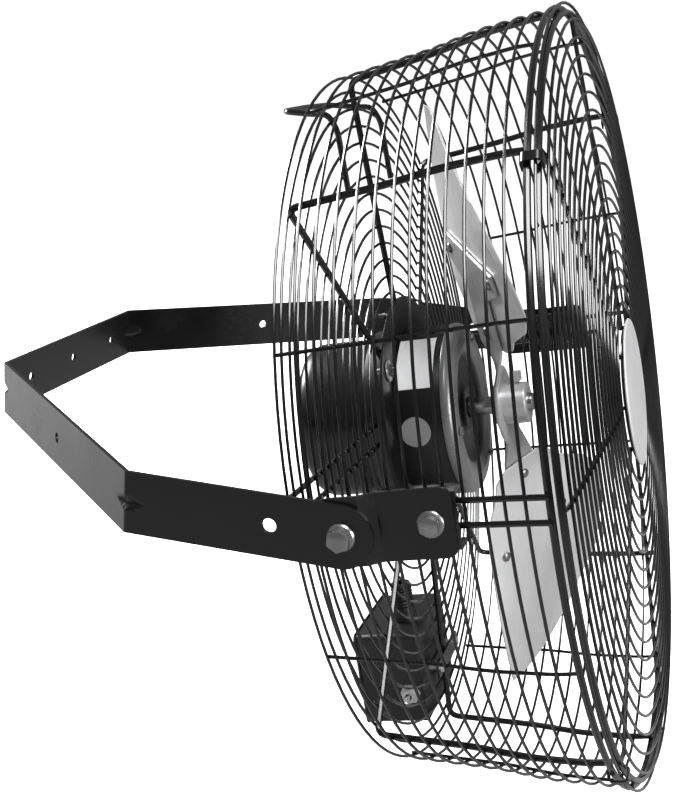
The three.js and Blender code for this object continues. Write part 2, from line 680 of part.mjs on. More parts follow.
const BELL_SCREW = { circle: 63, r: 1.6, seat: 19.5 };
const BELL_SCREW_ANGLES = [95, 215, 335];
turnedPiece(head, 'motor_front_bell', [
  [SEAT_R, FRONT_SEAT], [20, FRONT_SEAT], [20, SHELL_FRONT + GAP], [MOTOR_R, SHELL_FRONT + GAP], [MOTOR_R, 12.5],
  [73.2, 16], [68, BELL_FRONT - 0.7], [58, BELL_FRONT], [47, 15], [38, 12.5], [25, 13], [20, 15.5],
  [BORE_R + 1, 15.5], [BORE_R + 1, FRONT_SEAT + BEARING_LONG + GAP], [SEAT_R, FRONT_SEAT + BEARING_LONG + GAP],
  [SEAT_R, FRONT_SEAT]
], 24, 'bell_grey', BELL_SCREW_ANGLES.map((deg) => offAxis(
  rod(BELL_SCREW.r + GAP, BELL_SCREW.seat - 7, BELL_SCREW.seat + 5, 8), deg, BELL_SCREW.circle)));
BELL_SCREW_ANGLES.forEach((deg, i) => {
  const screw = turned([[0, -5], [BELL_SCREW.r, -5], [BELL_SCREW.r, 0], [4.2, 0], [3.4, 2], [0, 2.6]], 8);
  head.add(named(`bell_screw_${i + 1}`, offAxis(screw, deg, BELL_SCREW.circle, BELL_SCREW.seat + 0.9), 'zinc'));
});

const bearing = (name, back) => turnedPiece(head, name, tube(BORE_R, BEARING_R, back, back + BEARING_LONG),
  INNER_SIDES, 'shaft_steel');
bearing('rear_bearing', REAR_SEAT + GAP);
bearing('front_bearing', FRONT_SEAT);

const STATOR = { inner: 42, outer: CORE_R, back: -45, front: -8 };
turnedPiece(head, 'stator_core', tube(STATOR.inner, STATOR.outer, STATOR.back, STATOR.front), INNER_SIDES,
  'core_steel');
const winding = (name, s0, s1) => turnedPiece(head, name, [
  [45, s0], [64, s0], [67, (s0 + s1) / 2], [64, s1], [45, s1], [45, s0]
], INNER_SIDES, 'copper');
winding('rear_winding', SHELL_BACK + 3.5, STATOR.back - GAP);
winding('front_winding', STATOR.front + GAP, SHELL_FRONT - 0.2);

// A thin plate wrapped on the shell between two angles.
function wrapped(deg0, deg1, s0, s1, r0, thick, steps) {
  const arc = (r) => Array.from({ length: steps + 1 }, (_, i) => {
    const [x, , z] = polar(deg0 + (deg1 - deg0) * i / steps, r, 0);
    return [x, -z];
  });
  const g = prism([...arc(r0 + thick), ...arc(r0).reverse()], s1 - s0);
  return g.rotateX(Math.PI / 2).translate(0, -s0, 0);
}

const LABEL_OFF = 0.1;
head.add(named('rating_plate', wrapped(22, 78, -29, 3, MOTOR_R + LABEL_OFF, 0.5, 10), 'label_white'));
const sticker = aim(turned([[0, 0], [13, 0], [13, 0.5], [0, 0.5]], 20), outward(-1));
head.add(named('round_sticker', sticker.translate(-MOTOR_R - LABEL_OFF, 15, 0), 'sticker_grey'));

// ---------------------------------------------------------------- control box

const COVER_THICK = 2;
const BOX_MID_UP = (BOX_TOP + BOX_LOW) / 2;
const BOX_HALF_HIGH = (BOX_TOP - BOX_LOW) / 2;
const BOX_CORNER = 5;
const SWITCH = { s: -64, up: -246, r: 6 };
const GLAND_TOP = { x: -15, s: -69 };
const GLAND_SIDE = { s: -68, up: -229 };
const GLAND_R = 8;
const CLAMP_X = 30;
const CLAMP_UP = -232;
const CLAMP_SCREW_R = 2;

function boxPrism(halfWide, halfHigh, r, s0, s1) {
  const w = halfWide - r;
  const h = halfHigh - r;
  const outline = [
    ...arcPoints(w, h, r, 0, Math.PI / 2, 3),
    ...arcPoints(-w, h, r, Math.PI / 2, Math.PI, 3),
    ...arcPoints(-w, -h, r, Math.PI, 1.5 * Math.PI, 3),
    ...arcPoints(w, -h, r, 1.5 * Math.PI, 2 * Math.PI, 3)
  ];
  return prism(outline, s1 - s0).rotateX(Math.PI / 2).translate(0, -s0, BOX_MID_UP);
}

function sideways(geometry, x, s, up) {
  return aim(geometry, outward(Math.sign(x))).translate(x, -s, up);
}

function upright(geometry, x, s, up) {
  return geometry.rotateX(Math.PI / 2).translate(x, -s, up);
}

const boxCutters = [
  boxPrism(BOX_HALF_WIDE - BOX_WALL, BOX_HALF_HIGH - BOX_WALL, BOX_CORNER - BOX_WALL, BOX_BACK, BOX_FRONT - BOX_WALL),
  sideways(rod(SWITCH.r + GAP, -8, 8, HOLE_SIDES), -BOX_HALF_WIDE, SWITCH.s, SWITCH.up),
  sideways(rod(GLAND_R + GAP, -8, 8, HOLE_SIDES), BOX_HALF_WIDE, GLAND_SIDE.s, GLAND_SIDE.up),
  upright(rod(GLAND_R + GAP, -8, 8, HOLE_SIDES), GLAND_TOP.x, GLAND_TOP.s, BOX_TOP),
  ...[-CLAMP_X, CLAMP_X].map((x) => alongFan(rod(CLAMP_SCREW_R + GAP, BOX_FRONT - 6, BOX_FRONT + 6, 8))
    .translate(x, 0, CLAMP_UP))
];
const boxShell = boxPrism(BOX_HALF_WIDE, BOX_HALF_HIGH, BOX_CORNER, BOX_BACK + COVER_THICK + GAP, BOX_FRONT);
head.add(named('control_box', cut(boxShell, boxCutters), 'box_black'));
head.add(named('box_cover', boxPrism(BOX_HALF_WIDE + 1, BOX_HALF_HIGH + 1, BOX_CORNER + 1, BOX_BACK,
  BOX_BACK + COVER_THICK), 'box_black'));

// Clamp bar inside the cage: its two screws pull the box against the rear face.
const CLAMP_BACK = -40.6;
const clampBar = new THREE.BoxGeometry(2 * CLAMP_X + 16, 2, 14);
clampBar.translate(0, -(CLAMP_BACK + 1), CLAMP_UP);
head.add(named('box_clamp_bar', cut(clampBar, [-CLAMP_X, CLAMP_X].map((x) => alongFan(
  rod(CLAMP_SCREW_R + GAP, CLAMP_BACK - 3, CLAMP_BACK + 6, 8)).translate(x, 0, CLAMP_UP))), 'yoke_black'));
sides.forEach(([label, side]) => {
  const screw = alongFan(turned([
    [0, -15], [CLAMP_SCREW_R, -15], [CLAMP_SCREW_R, 0], [4.5, 0], [3.6, 2.2], [0, 2.8]
  ], 8)).translate(side * CLAMP_X, -(CLAMP_BACK + 2 + GAP), CLAMP_UP);
  head.add(named(`box_screw_${label}`, screw, 'zinc'));
});

// Gland: a tail through the wall and an open collar outside.
function gland(boreR, collarR, collarHigh) {
  return turned([
    [boreR, -6], [GLAND_R, -6], [GLAND_R, GAP], [collarR, GAP], [collarR, collarHigh * 0.75],
    [collarR * 0.8, collarHigh], [boreR, collarHigh], [boreR, -6]
  ], 16);
}
head.add(named('side_gland', sideways(gland(4.5, 11.5, 24), BOX_HALF_WIDE, GLAND_SIDE.s, GLAND_SIDE.up), 'zinc'));
head.add(named('top_gland', upright(gland(5.5, 10.5, 36), GLAND_TOP.x, GLAND_TOP.s, BOX_TOP), 'plastic_black'));

const LEVER_R = 1.6;
const BUSHING_BORE_R = LEVER_R + 1.6;
const bushingBody = joined([rod(SWITCH.r, -8, 9, 12), prism(hexagon(9.5), 2.5).rotateX(-Math.PI / 2)])
  .subtract(solid(rod(BUSHING_BORE_R, -12, 12, 12)));
head.add(named('switch_bushing', sideways(surface(bushingBody), -BOX_HALF_WIDE - GAP, SWITCH.s, SWITCH.up), 'zinc'));
const lever = turned([[0, -6], [LEVER_R, -6], [LEVER_R, 9], [3.2, 20], [2.6, 23], [0, 24]], 10);
head.add(named('switch_lever', sideways(lever, -BOX_HALF_WIDE - GAP, SWITCH.s, SWITCH.up), 'zinc'));

// ---------------------------------------------------------------- turning set

const rotor = new THREE.Group();
rotor.name = 'turning_set';
head.add(rotor);
turnedPiece(rotor, 'motor_shaft', [
  [0, REAR_SEAT + GAP], [SHAFT_R, REAR_SEAT + GAP], [SHAFT_R, SHAFT_END - 1], [SHAFT_R - 1, SHAFT_END], [0, SHAFT_END]
], 20, 'shaft_steel');
turnedPiece(rotor, 'rotor_core', tube(BORE_R, STATOR.inner - 1.2, STATOR.back, STATOR.front), INNER_SIDES,
  'core_steel');

// Pitch of the blade and of the arm behind it, against the radius.
const FLAT_R = 27;
const BLADE_DRIFT = 6 / 200; // the sheet's middle falls back this much per radius
function pitch(r) {
  const inner = Math.min(Math.max((r - FLAT_R) / (BLADE_ROOT_R - FLAT_R), 0), 1);
  const outer = Math.max((r - BLADE_ROOT_R) / (BLADE_TIP_R - BLADE_ROOT_R), 0);
  return rad(TWIST_ROOT * inner + (TWIST_TIP - TWIST_ROOT) * outer);
}

// A point on the twisted sheet: radius, chord (positive towards the air's way), and offset off its face.
function sheetPoint(r, c, off) {
  const b = pitch(r);
  const lateral = c * Math.cos(b) - off * Math.sin(b);
  const middle = BLADE_MID_S - BLADE_DRIFT * Math.max(0, r - BLADE_ROOT_R);
  return new THREE.Vector3(-lateral, -(middle + c * Math.sin(b) + off * Math.cos(b)), r);
}

// Closed sheet over rows of [radius, chord from, chord to], its outer edge rounded to tipR.
function sheet(rows, columns, mid, thick, tipR) {
  const flat = [];
  const index = [];
  const across = columns + 1;
  const [first, last] = [rows[0][0], rows[rows.length - 1][0]];
  [mid + thick / 2, mid - thick / 2].forEach((off) => {
    rows.forEach(([r, c0, c1]) => {
      const share = ((r - first) / (last - first)) ** 3;
      for (let j = 0; j <= columns; j += 1) {
        const c = c0 + (c1 - c0) * j / columns;
        const flatWidth = c * Math.cos(pitch(r));
        const drop = (tipR - Math.sqrt(tipR ** 2 - flatWidth ** 2)) * share;
        const p = sheetPoint(r - drop, c, off);
        flat.push(p.x, p.y, p.z);
      }
    });
  });
  const layer = rows.length * across;
  for (let i = 0; i < rows.length - 1; i += 1) {
    for (let j = 0; j < columns; j += 1) {
      const a = i * across + j;
      const b = a + across;
      index.push(a, b, a + 1, a + 1, b, b + 1);
      index.push(layer + a, layer + a + 1, layer + b, layer + a + 1, layer + b + 1, layer + b);
    }
  }
  const wall = (a, b) => index.push(a, b, layer + a, b, layer + b, layer + a);
  const end = (rows.length - 1) * across;
  for (let j = 0; j < columns; j += 1) {
    wall(j, j + 1);
    wall(end + j + 1, end + j);
  }
  for (let i = 0; i < rows.length - 1; i += 1) {
    wall((i + 1) * across, i * across);
    wall(i * across + columns, (i + 1) * across + columns);
  }
  const g = new THREE.BufferGeometry();
  g.setAttribute('position', new THREE.Float32BufferAttribute(flat, 3));
  g.setIndex(index);
  g.computeVertexNormals();
  return g;
}

const bladeRows = [
  [BLADE_ROOT_R, -20, 20], [68, -34, 34], [80, -38, 42], [106, -58, 80], [135, -63, 104], [170, -70, 112],
  [205, -77, 114], [236, -82, 114], [BLADE_TIP_R, -86, 112]
];
const ARM_THICK = 2.5;
const ARM_SEAT = 0.6; // between the blade and the arm, and under the rivet heads
const armMid = -(BLADE_THICK / 2 + ARM_SEAT + ARM_THICK / 2);
const armRows = [
  [14, -17, 17], [FLAT_R, -17, 17], [42, -17, 17], [BLADE_ROOT_R, -17, 17], [80, -17, 17], [118, -20, 20],
  [128, -52, 52], [150, -54, 54]
];
const RIVET_R = 2.6;
const RIVET_HEAD_R = 4.6;
const rivetSpots = [[75, 0], [139, -44], [139, 44]];

// Stands a turned shape on the sheet, its +Y off the front face.
function onSheet(geometry, [r, c]) {
  const at = sheetPoint(r, c, 0);
  const out = sheetPoint(r, c, 1).sub(at).normalize();
  return aim(geometry.clone(), out).translate(at.x, at.y, at.z);
}
const rivetHoles = joined(rivetSpots.map((spot) => onSheet(rod(RIVET_R + GAP, -12, 12, 8), spot)));
const bladeSheet = solid(sheet(bladeRows, 6, 0, BLADE_THICK, BLADE_TIP_R)).subtract(rivetHoles);
const armSheet = solid(sheet(armRows, 4, armMid, ARM_THICK, BLADE_TIP_R)).subtract(rivetHoles);
const rivetBack = armMid - ARM_THICK / 2 - ARM_SEAT;
const rivetFront = BLADE_THICK / 2 + ARM_SEAT + GAP;
const rivet = turned([
  [0, rivetBack - 2.2], [RIVET_HEAD_R, rivetBack], [RIVET_R, rivetBack], [RIVET_R, rivetFront],
  [RIVET_HEAD_R, rivetFront], [3.2, rivetFront + 1.7], [0, rivetFront + 2.3]
], 8);

// Hub: a flange behind the spider's disc carries it; a set screw above grips the shaft.
const SCREW_S = 60;
const SCREW_R = 3;
const DISC_R = 34;
const discBack = BLADE_MID_S + armMid - ARM_THICK / 2;
turnedPiece(rotor, 'blade_hub', [
  [BORE_R, HUB_BACK], [HUB_R, HUB_BACK], [HUB_R, discBack - GAP - 2.5], [25, discBack - GAP - 2.5],
  [25, discBack - GAP], [HUB_R, discBack - GAP], [HUB_R, HUB_FRONT - 1.5], [HUB_R - 1.5, HUB_FRONT],
  [BORE_R, HUB_FRONT], [BORE_R, HUB_BACK]
], 24, 'zinc', [upright(rod(SCREW_R + GAP, 5, 30, 8), 0, SCREW_S, 0)]);
const screwBody = joined([
  rod(SCREW_R, SHAFT_R + GAP, HUB_R + 3, 8),
  prism([[-4.5, -4.5], [4.5, -4.5], [4.5, 4.5], [-4.5, 4.5]], 8).rotateX(-Math.PI / 2).translate(0, HUB_R + 2, 0)
]);
rotor.add(named('hub_set_screw', upright(surface(screwBody), 0, SCREW_S, 0), 'shaft_steel'));

const bladeSet = new THREE.Group();
bladeSet.name = 'blade_set';
bladeSet.rotation.y = -rad(BLADE_ANGLE);
rotor.add(bladeSet);

const disc = alongFan(turned(tube(HUB_R + GAP, DISC_R, discBack, discBack + ARM_THICK), 24));
const hubBore = alongFan(rod(HUB_R + GAP, discBack - 10, discBack + 10, 24));
const arms = armSheet.add(armSheet.rotate([0, 180, 0]));
bladeSet.add(named('blade_spider', surface(solid(disc).add(arms).subtract(solid(hubBore))), 'zinc'));
[['a', 0], ['b', 180]].forEach(([tag, turn]) => {
  bladeSet.add(named(`blade_${tag}`, surface(bladeSheet.rotate([0, turn, 0])), 'aluminium'));
  rivetSpots.forEach((spot, k) => {
    bladeSet.add(named(`rivet_${tag}${k + 1}`, onSheet(rivet, spot).rotateY(rad(turn)), 'zinc'));
  });
});

export default fan;
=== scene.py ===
# %% [markdown]
# A wall fan in a wire cage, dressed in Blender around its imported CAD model.
# The CAD part fixes every size and place, and the pieces made here stand where its nodes stand.
# Each cell first says what a piece is on the real fan, then why it is made this way.

# %% Load the frame
import math
import bpy
import bmesh
from mathutils import Matrix, Vector
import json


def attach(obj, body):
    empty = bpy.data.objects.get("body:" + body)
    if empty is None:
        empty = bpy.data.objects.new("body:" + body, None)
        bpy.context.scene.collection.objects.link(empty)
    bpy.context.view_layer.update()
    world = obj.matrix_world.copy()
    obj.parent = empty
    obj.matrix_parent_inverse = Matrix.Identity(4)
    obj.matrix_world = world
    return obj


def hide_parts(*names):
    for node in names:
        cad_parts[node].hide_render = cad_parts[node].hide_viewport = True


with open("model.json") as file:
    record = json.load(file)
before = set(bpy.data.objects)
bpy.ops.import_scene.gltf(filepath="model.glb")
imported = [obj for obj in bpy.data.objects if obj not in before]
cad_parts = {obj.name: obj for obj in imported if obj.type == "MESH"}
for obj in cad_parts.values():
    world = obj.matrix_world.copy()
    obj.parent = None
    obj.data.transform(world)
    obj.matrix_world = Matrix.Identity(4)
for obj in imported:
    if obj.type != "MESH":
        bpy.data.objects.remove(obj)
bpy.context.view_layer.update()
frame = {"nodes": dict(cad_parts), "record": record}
MM = 0.001

# %% [markdown]
# The camera comes first. The photo looks at the fan's right side, a little from above and a
# little rolled, so the three camera directions are given as vectors in place of angles.

# %% Camera
CAMERA_AT = Vector((-1158.3, -599.9, 317.2)) * MM
CAMERA_RIGHT = Vector((0.2898, -0.9553, 0.0579))
CAMERA_UP = Vector((0.24, 0.1311, 0.9619))
PHOTO_WIDE = 679
FOCAL_PIXELS = 1381

camera_data = bpy.data.cameras.new("photo_camera")
camera_data.sensor_fit = "HORIZONTAL"
camera_data.sensor_width = 36.0
camera_data.lens = FOCAL_PIXELS / PHOTO_WIDE * camera_data.sensor_width
camera_data.clip_end = 50.0
camera = bpy.data.objects.new("photo_camera", camera_data)
bpy.context.scene.collection.objects.link(camera)
backwards = CAMERA_RIGHT.cross(CAMERA_UP).normalized()
upwards = backwards.cross(CAMERA_RIGHT).normalized()
turned = Matrix((CAMERA_RIGHT.normalized(), upwards, backwards)).transposed().to_4x4()
camera.matrix_world = Matrix.Translation(CAMERA_AT) @ turned
bpy.context.scene.camera = camera
print("camera lens", round(camera_data.lens, 1), "mm")

# %% [markdown]
# Glossy black wire shows only what it mirrors, so the light comes from a few broad soft lamps
# in dim, even surroundings: one above, one on the wall's side and one before the fan. The side
# behind the camera stays dim, which keeps the yoke's near face as black as in the photo.
# The camera sees a white floor and a white world, and the floor keeps the shadow.

# %% World, lamps and floor
DIM_ROOM = 0.2
WHITE_SEEN = 1.0


def dim_world():
    world = bpy.data.worlds.new("white_room")
    world.use_nodes = True
    nodes, links = world.node_tree.nodes, world.node_tree.links
    path = nodes.new("ShaderNodeLightPath")
    strength = nodes.new("ShaderNodeMapRange")
    strength.inputs["To Min"].default_value = DIM_ROOM
    strength.inputs["To Max"].default_value = WHITE_SEEN
    links.new(path.outputs["Is Camera Ray"], strength.inputs["Value"])
    links.new(strength.outputs[0], nodes["Background"].inputs["Strength"])
    nodes["Background"].inputs["Color"].default_value = (1, 1, 1, 1)
    bpy.context.scene.world = world


def soft_lamp(name, place, size, watts, aim=(0, -0.35, 0)):
    lamp = bpy.data.lights.new(name, "AREA")
    lamp.shape = "DISK"
    lamp.size = size
    lamp.energy = watts
    holder = bpy.data.objects.new(name, lamp)
    bpy.context.scene.collection.objects.link(holder)
    holder.location = place
    holder.rotation_euler = (Vector(aim) - Vector(place)).to_track_quat("-Z", "Y").to_euler()


dim_world()
soft_lamp("lamp_above", (-1.1, -0.9, 2.4), 1.5, 88)
soft_lamp("lamp_wall_side", (0.6, 1.7, 1.1), 1.2, 125, (0.3, 0.75, -0.36))
soft_lamp("lamp_before", (-0.9, -2.6, 0.7), 1.4, 60)
bpy.context.scene.view_settings.view_transform = "Standard"


def select_none():
    if bpy.context.mode != "OBJECT":
        bpy.ops.object.mode_set(mode="OBJECT")
    bpy.ops.object.select_all(action="DESELECT")


FLOOR_DROP = 0.36
FLOOR_GLOW = 0.88
FLOOR_SIZE = 40
select_none()
bpy.ops.mesh.primitive_plane_add(size=FLOOR_SIZE, location=(0, -0.4, -FLOOR_DROP))
floor = bpy.context.active_object
floor.name = "floor"
bpy.ops.object.transform_apply(location=True, rotation=True, scale=True)


def floor_finish():
    """Bright to the camera, with its shadow; to every other ray a dim floor."""
    paint = bpy.data.materials.new("floor_white")
    paint.use_nodes = True
    nodes, links = paint.node_tree.nodes, paint.node_tree.links
    shade = nodes["Principled BSDF"]
    shade.inputs["Roughness"].default_value = 0.9
    shade.inputs["Specular IOR Level"].default_value = 0.0
    path = nodes.new("ShaderNodeLightPath")
    tones = nodes.new("ShaderNodeValToRGB")
    tones.color_ramp.elements[0].color = (0.24, 0.24, 0.24, 1)
    tones.color_ramp.elements[1].color = (0.85, 0.85, 0.85, 1)
    mottle = nodes.new("ShaderNodeTexNoise")
    mottle.inputs["Scale"].default_value = 3
    faint = nodes.new("ShaderNodeMapRange")
    faint.inputs["To Min"].default_value = 0.97
    links.new(mottle.outputs["Fac"], faint.inputs["Value"])
    level = nodes.new("ShaderNodeMath")
    level.operation = "MULTIPLY"
    links.new(path.outputs["Is Camera Ray"], level.inputs[0])
    links.new(faint.outputs[0], level.inputs[1])
    links.new(level.outputs[0], tones.inputs["Fac"])
    links.new(tones.outputs["Color"], shade.inputs["Base Color"])
    glow = nodes.new("ShaderNodeMath")
    glow.operation = "MULTIPLY"
    glow.inputs[1].default_value = FLOOR_GLOW
    links.new(path.outputs["Is Camera Ray"], glow.inputs[0])
    shade.inputs["Emission Color"].default_value = (1, 1, 1, 1)
    links.new(glow.outputs[0], shade.inputs["Emission Strength"])
    return paint


floor.data.materials.append(floor_finish())
print("world, three lamps and floor")

# %% [markdown]
# Every metal here carries a fine unevenness: powder paint has orange peel, zinc has a grain,
# rolled sheet has faint streaks. One node group makes it. It takes a size and gives back a
# height for the bump and a mask that shifts colour and roughness a little.

# %% Node group: fine grain
def new_group(name, inputs, outputs):
    group = bpy.data.node_groups.new(name, "ShaderNodeTree")
    for label, kind, value in inputs:
        socket = group.interface.new_socket(label, in_out="INPUT", socket_type=kind)
        socket.default_value = value
    for label, kind in outputs:
        group.interface.new_socket(label, in_out="OUTPUT", socket_type=kind)
    start = group.nodes.new("NodeGroupInput")
    end = group.nodes.new("NodeGroupOutput")
    return group, start, end


grain_group, start, end = new_group(
    "surface_grain",
    [
        ("Stretch", "NodeSocketVector", (1, 1, 1)),
        ("Fine", "NodeSocketFloat", 600),
        ("Broad", "NodeSocketFloat", 18),
    ],
    [("Height", "NodeSocketFloat"), ("Mask", "NodeSocketFloat")],
)
place = grain_group.nodes.new("ShaderNodeTexCoord")
stretch = grain_group.nodes.new("ShaderNodeVectorMath")
stretch.operation = "MULTIPLY"
fine = grain_group.nodes.new("ShaderNodeTexNoise")
fine.inputs["Detail"].default_value = 3
broad = grain_group.nodes.new("ShaderNodeTexNoise")
broad.inputs["Detail"].default_value = 4
broad.inputs["Roughness"].default_value = 0.6
grain_group.links.new(place.outputs["Object"], stretch.inputs[0])
grain_group.links.new(start.outputs["Stretch"], stretch.inputs[1])
for noise, label in ((fine, "Fine"), (broad, "Broad")):
    grain_group.links.new(stretch.outputs[0], noise.inputs["Vector"])
    grain_group.links.new(start.outputs[label], noise.inputs["Scale"])
grain_group.links.new(fine.outputs["Fac"], end.inputs["Height"])
grain_group.links.new(broad.outputs["Fac"], end.inputs["Mask"])
print("grain group with", len(grain_group.nodes), "nodes")


# %% [markdown]
# Each finish is one Principled shader. Its colour runs between a dark and a light tone by the
# grain's mask, its roughness between two values, and its bump comes from the grain's height.

# %% Finishes
def linear(grey):
    return grey / 12.92 if grey <= 0.04045 else ((grey + 0.055) / 1.055) ** 2.4


def tone(colour):
    return tuple(linear(c) for c in colour) + (1,)


def finish(name, dark, light, rough, metallic=0.0, coat=0.0, fine=600, broad=18, bump=0.1,
           stretch=(1, 1, 1)):
    material = bpy.data.materials.new(name)
    material.use_nodes = True
    tree = material.node_tree
    shader = tree.nodes["Principled BSDF"]
    grain = tree.nodes.new("ShaderNodeGroup")
    grain.node_tree = grain_group
    grain.inputs["Fine"].default_value = fine
    grain.inputs["Broad"].default_value = broad
    grain.inputs["Stretch"].default_value = stretch
    colour = tree.nodes.new("ShaderNodeValToRGB")
    colour.color_ramp.elements[0].position = 0.32
    colour.color_ramp.elements[0].color = tone(dark)
    colour.color_ramp.elements[1].position = 0.68
    colour.color_ramp.elements[1].color = tone(light)
    roughness = tree.nodes.new("ShaderNodeMapRange")
    roughness.inputs["From Min"].default_value = 0.3
    roughness.inputs["From Max"].default_value = 0.7
    roughness.inputs["To Min"].default_value = rough[0]
    roughness.inputs["To Max"].default_value = rough[1]
    bumps = tree.nodes.new("ShaderNodeBump")
    bumps.inputs["Strength"].default_value = bump
    bumps.inputs["Distance"].default_value = 0.0004
    tree.links.new(grain.outputs["Mask"], colour.inputs["Fac"])
    tree.links.new(grain.outputs["Mask"], roughness.inputs["Value"])
    tree.links.new(grain.outputs["Height"], bumps.inputs["Height"])
    tree.links.new(colour.outputs["Color"], shader.inputs["Base Color"])
    tree.links.new(roughness.outputs[0], shader.inputs["Roughness"])
    tree.links.new(bumps.outputs[0], shader.inputs["Normal"])
    shader.inputs["Metallic"].default_value = metallic
    shader.inputs["Coat Weight"].default_value = coat
    shader.inputs["Coat Roughness"].default_value = 0.12
    return material


def grey(value):
    return (value, value, value + 0.004)


finishes = {
    "yoke_black": finish("powder_black", grey(0.025), grey(0.045), (0.2, 0.3), fine=900, bump=0.12),
    "wire_black": finish("wire_gloss_black", grey(0.03), grey(0.05), (0.14, 0.22), coat=0.25,
                         fine=500, bump=0.04),
    "motor_black": finish("motor_satin_black", grey(0.035), grey(0.06), (0.26, 0.34), fine=700, bump=0.06),
    "bell_grey": finish("bell_dark_grey", grey(0.46), grey(0.52), (0.24, 0.34), metallic=0.4,
                        fine=800, bump=0.08),
    "aluminium": finish("rolled_aluminium", grey(0.82), grey(0.94), (0.26, 0.42), metallic=0.48,
                        fine=22, broad=9, bump=1.0, stretch=(1, 1, 0.5)),
    "zinc": finish("zinc_plate", grey(0.5), grey(0.62), (0.2, 0.32), metallic=0.85,
                   fine=400, broad=70, bump=0.05),
    "spider": finish("spider_zinc", grey(0.72), grey(0.8), (0.26, 0.36), metallic=0.5,
                     fine=300, broad=20, bump=0.03),
    "shaft_steel": finish("ground_steel", grey(0.62), grey(0.7), (0.16, 0.24), metallic=1.0, bump=0.03),
    "core_steel": finish("core_laminations", grey(0.36), grey(0.42), (0.45, 0.6), metallic=0.8, bump=0.2),
    "copper": finish("winding_copper", (0.6, 0.34, 0.2), (0.7, 0.42, 0.26), (0.35, 0.45),
                     metallic=0.9, bump=0.3),
    "badge_grey": finish("badge_silver", grey(0.7), grey(0.76), (0.32, 0.4), metallic=0.1, bump=0.03),
    "label_white": finish("label_paper", grey(0.92), grey(0.95), (0.4, 0.5), bump=0.04),
    "sticker_grey": finish("sticker_silver", grey(0.55), grey(0.6), (0.35, 0.45), metallic=0.2, bump=0.04),
    "box_black": finish("box_satin_black", grey(0.07), grey(0.1), (0.34, 0.42), fine=900, bump=0.1),
    "plastic_black": finish("gland_black", grey(0.05), grey(0.07), (0.35, 0.45), fine=900, bump=0.08),
}
# These small zinc parts take the lighter spider zinc as painted highlight, in place of the bright
# reflections they show.
GLINT_PAINTED_NODES = ("switch_bushing", "hub_set_screw", "box_screw_left", "box_screw_right")
slot_of = {s["node"]: s["material_slot"] for s in frame["record"]["subparts"]}
for node, mesh_object in frame["nodes"].items():
    mesh_object.data.materials.clear()
    bright = node in GLINT_PAINTED_NODES
    mesh_object.data.materials.append(finishes["spider" if bright else slot_of[node]])
print("finishes", len(finishes))

# %% [markdown]
# The head hangs in the yoke tipped 13.2 degrees upwards. Its pieces are modelled square, with
# the fan's axis along Y and the air blowing towards -Y, and are then turned into place once.
# The blades are turned about that axis as well, to the angle where the photo caught them.

# %% Placing helpers
PIVOT = Vector((0, -373, -13)) * MM
TILT = math.radians(-13.2)
BLADE_TURN = math.radians(-19.5)
IN_HEAD = Matrix.Translation(PIVOT) @ Matrix.Rotation(TILT, 4, "X")
SMOOTH_BELOW = math.radians(35)


def settle(piece, name, slot_name, body, nodes, place=IN_HEAD, smooth=SMOOTH_BELOW, paint=None):
    """Puts a finished piece in the row frame, at the origin, with its finish, body and nodes."""
    select_none()
    piece.name = name
    piece.data.name = name
    piece.select_set(True)
    bpy.context.view_layer.objects.active = piece
    bpy.ops.object.transform_apply(location=True, rotation=True, scale=True)
    piece.matrix_world = place
    bpy.ops.object.transform_apply(location=True, rotation=True, scale=True)
    bpy.ops.object.shade_smooth_by_angle(angle=smooth)
    piece.data.materials.clear()
    piece.data.materials.append(finishes[paint or slot_name])
    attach(piece, body)
    if nodes:
        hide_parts(*nodes)
    print(name, len(piece.data.polygons), "faces")
    return piece


def edit(piece):
    select_none()
    piece.select_set(True)
    bpy.context.view_layer.objects.active = piece
    bpy.ops.object.mode_set(mode="EDIT")
    bpy.ops.mesh.select_all(action="SELECT")


def tidy_mesh():
    """In edit mode: merges what meets and turns the faces outwards."""
    bpy.ops.mesh.select_all(action="SELECT")
    bpy.ops.mesh.remove_doubles(threshold=1e-6)
    bpy.ops.mesh.normals_make_consistent(inside=False)
    bpy.ops.object.mode_set(mode="OBJECT")


def joined(pieces):
    select_none()
    for piece in pieces:
        piece.select_set(True)
    bpy.context.view_layer.objects.active = pieces[0]
    bpy.ops.object.join()
    return bpy.context.active_object


print("head tipped", round(math.degrees(TILT), 1), "degrees")


# %% [markdown]
# A cage ring is wire bent round and butt welded. A circle the size of the wire's section is
# set at the ring's radius and spun once round the fan's axis, as a lathe would sweep it.

# %% Helper: spun ring
WIRE_SIDES = 8


def spin_round(steps, back=0.0):
    bpy.ops.mesh.select_all(action="SELECT")
    bpy.ops.mesh.spin(steps=steps, angle=2 * math.pi, center=(0, back, 0), axis=(0, 1, 0))
    tidy_mesh()


def wire_ring(radius, station, wire, steps=96):
    select_none()
    bpy.ops.mesh.primitive_circle_add(
        vertices=WIRE_SIDES, radius=wire * MM, location=(radius * MM, -station * MM, 0))
    ring = bpy.context.active_object
    bpy.ops.object.transform_apply(location=True, rotation=True, scale=True)
    edit(ring)
    spin_round(steps)
    return ring


print("ring helper, wire with", WIRE_SIDES, "sides")


# %% [markdown]
# A rib is straight wire with bends in it. One vertex is extruded along the rib's line, corner
# by corner, the line becomes a curve, and the curve gets the wire's thickness and its end caps.
# Each corner is first rounded to the bender's radius.

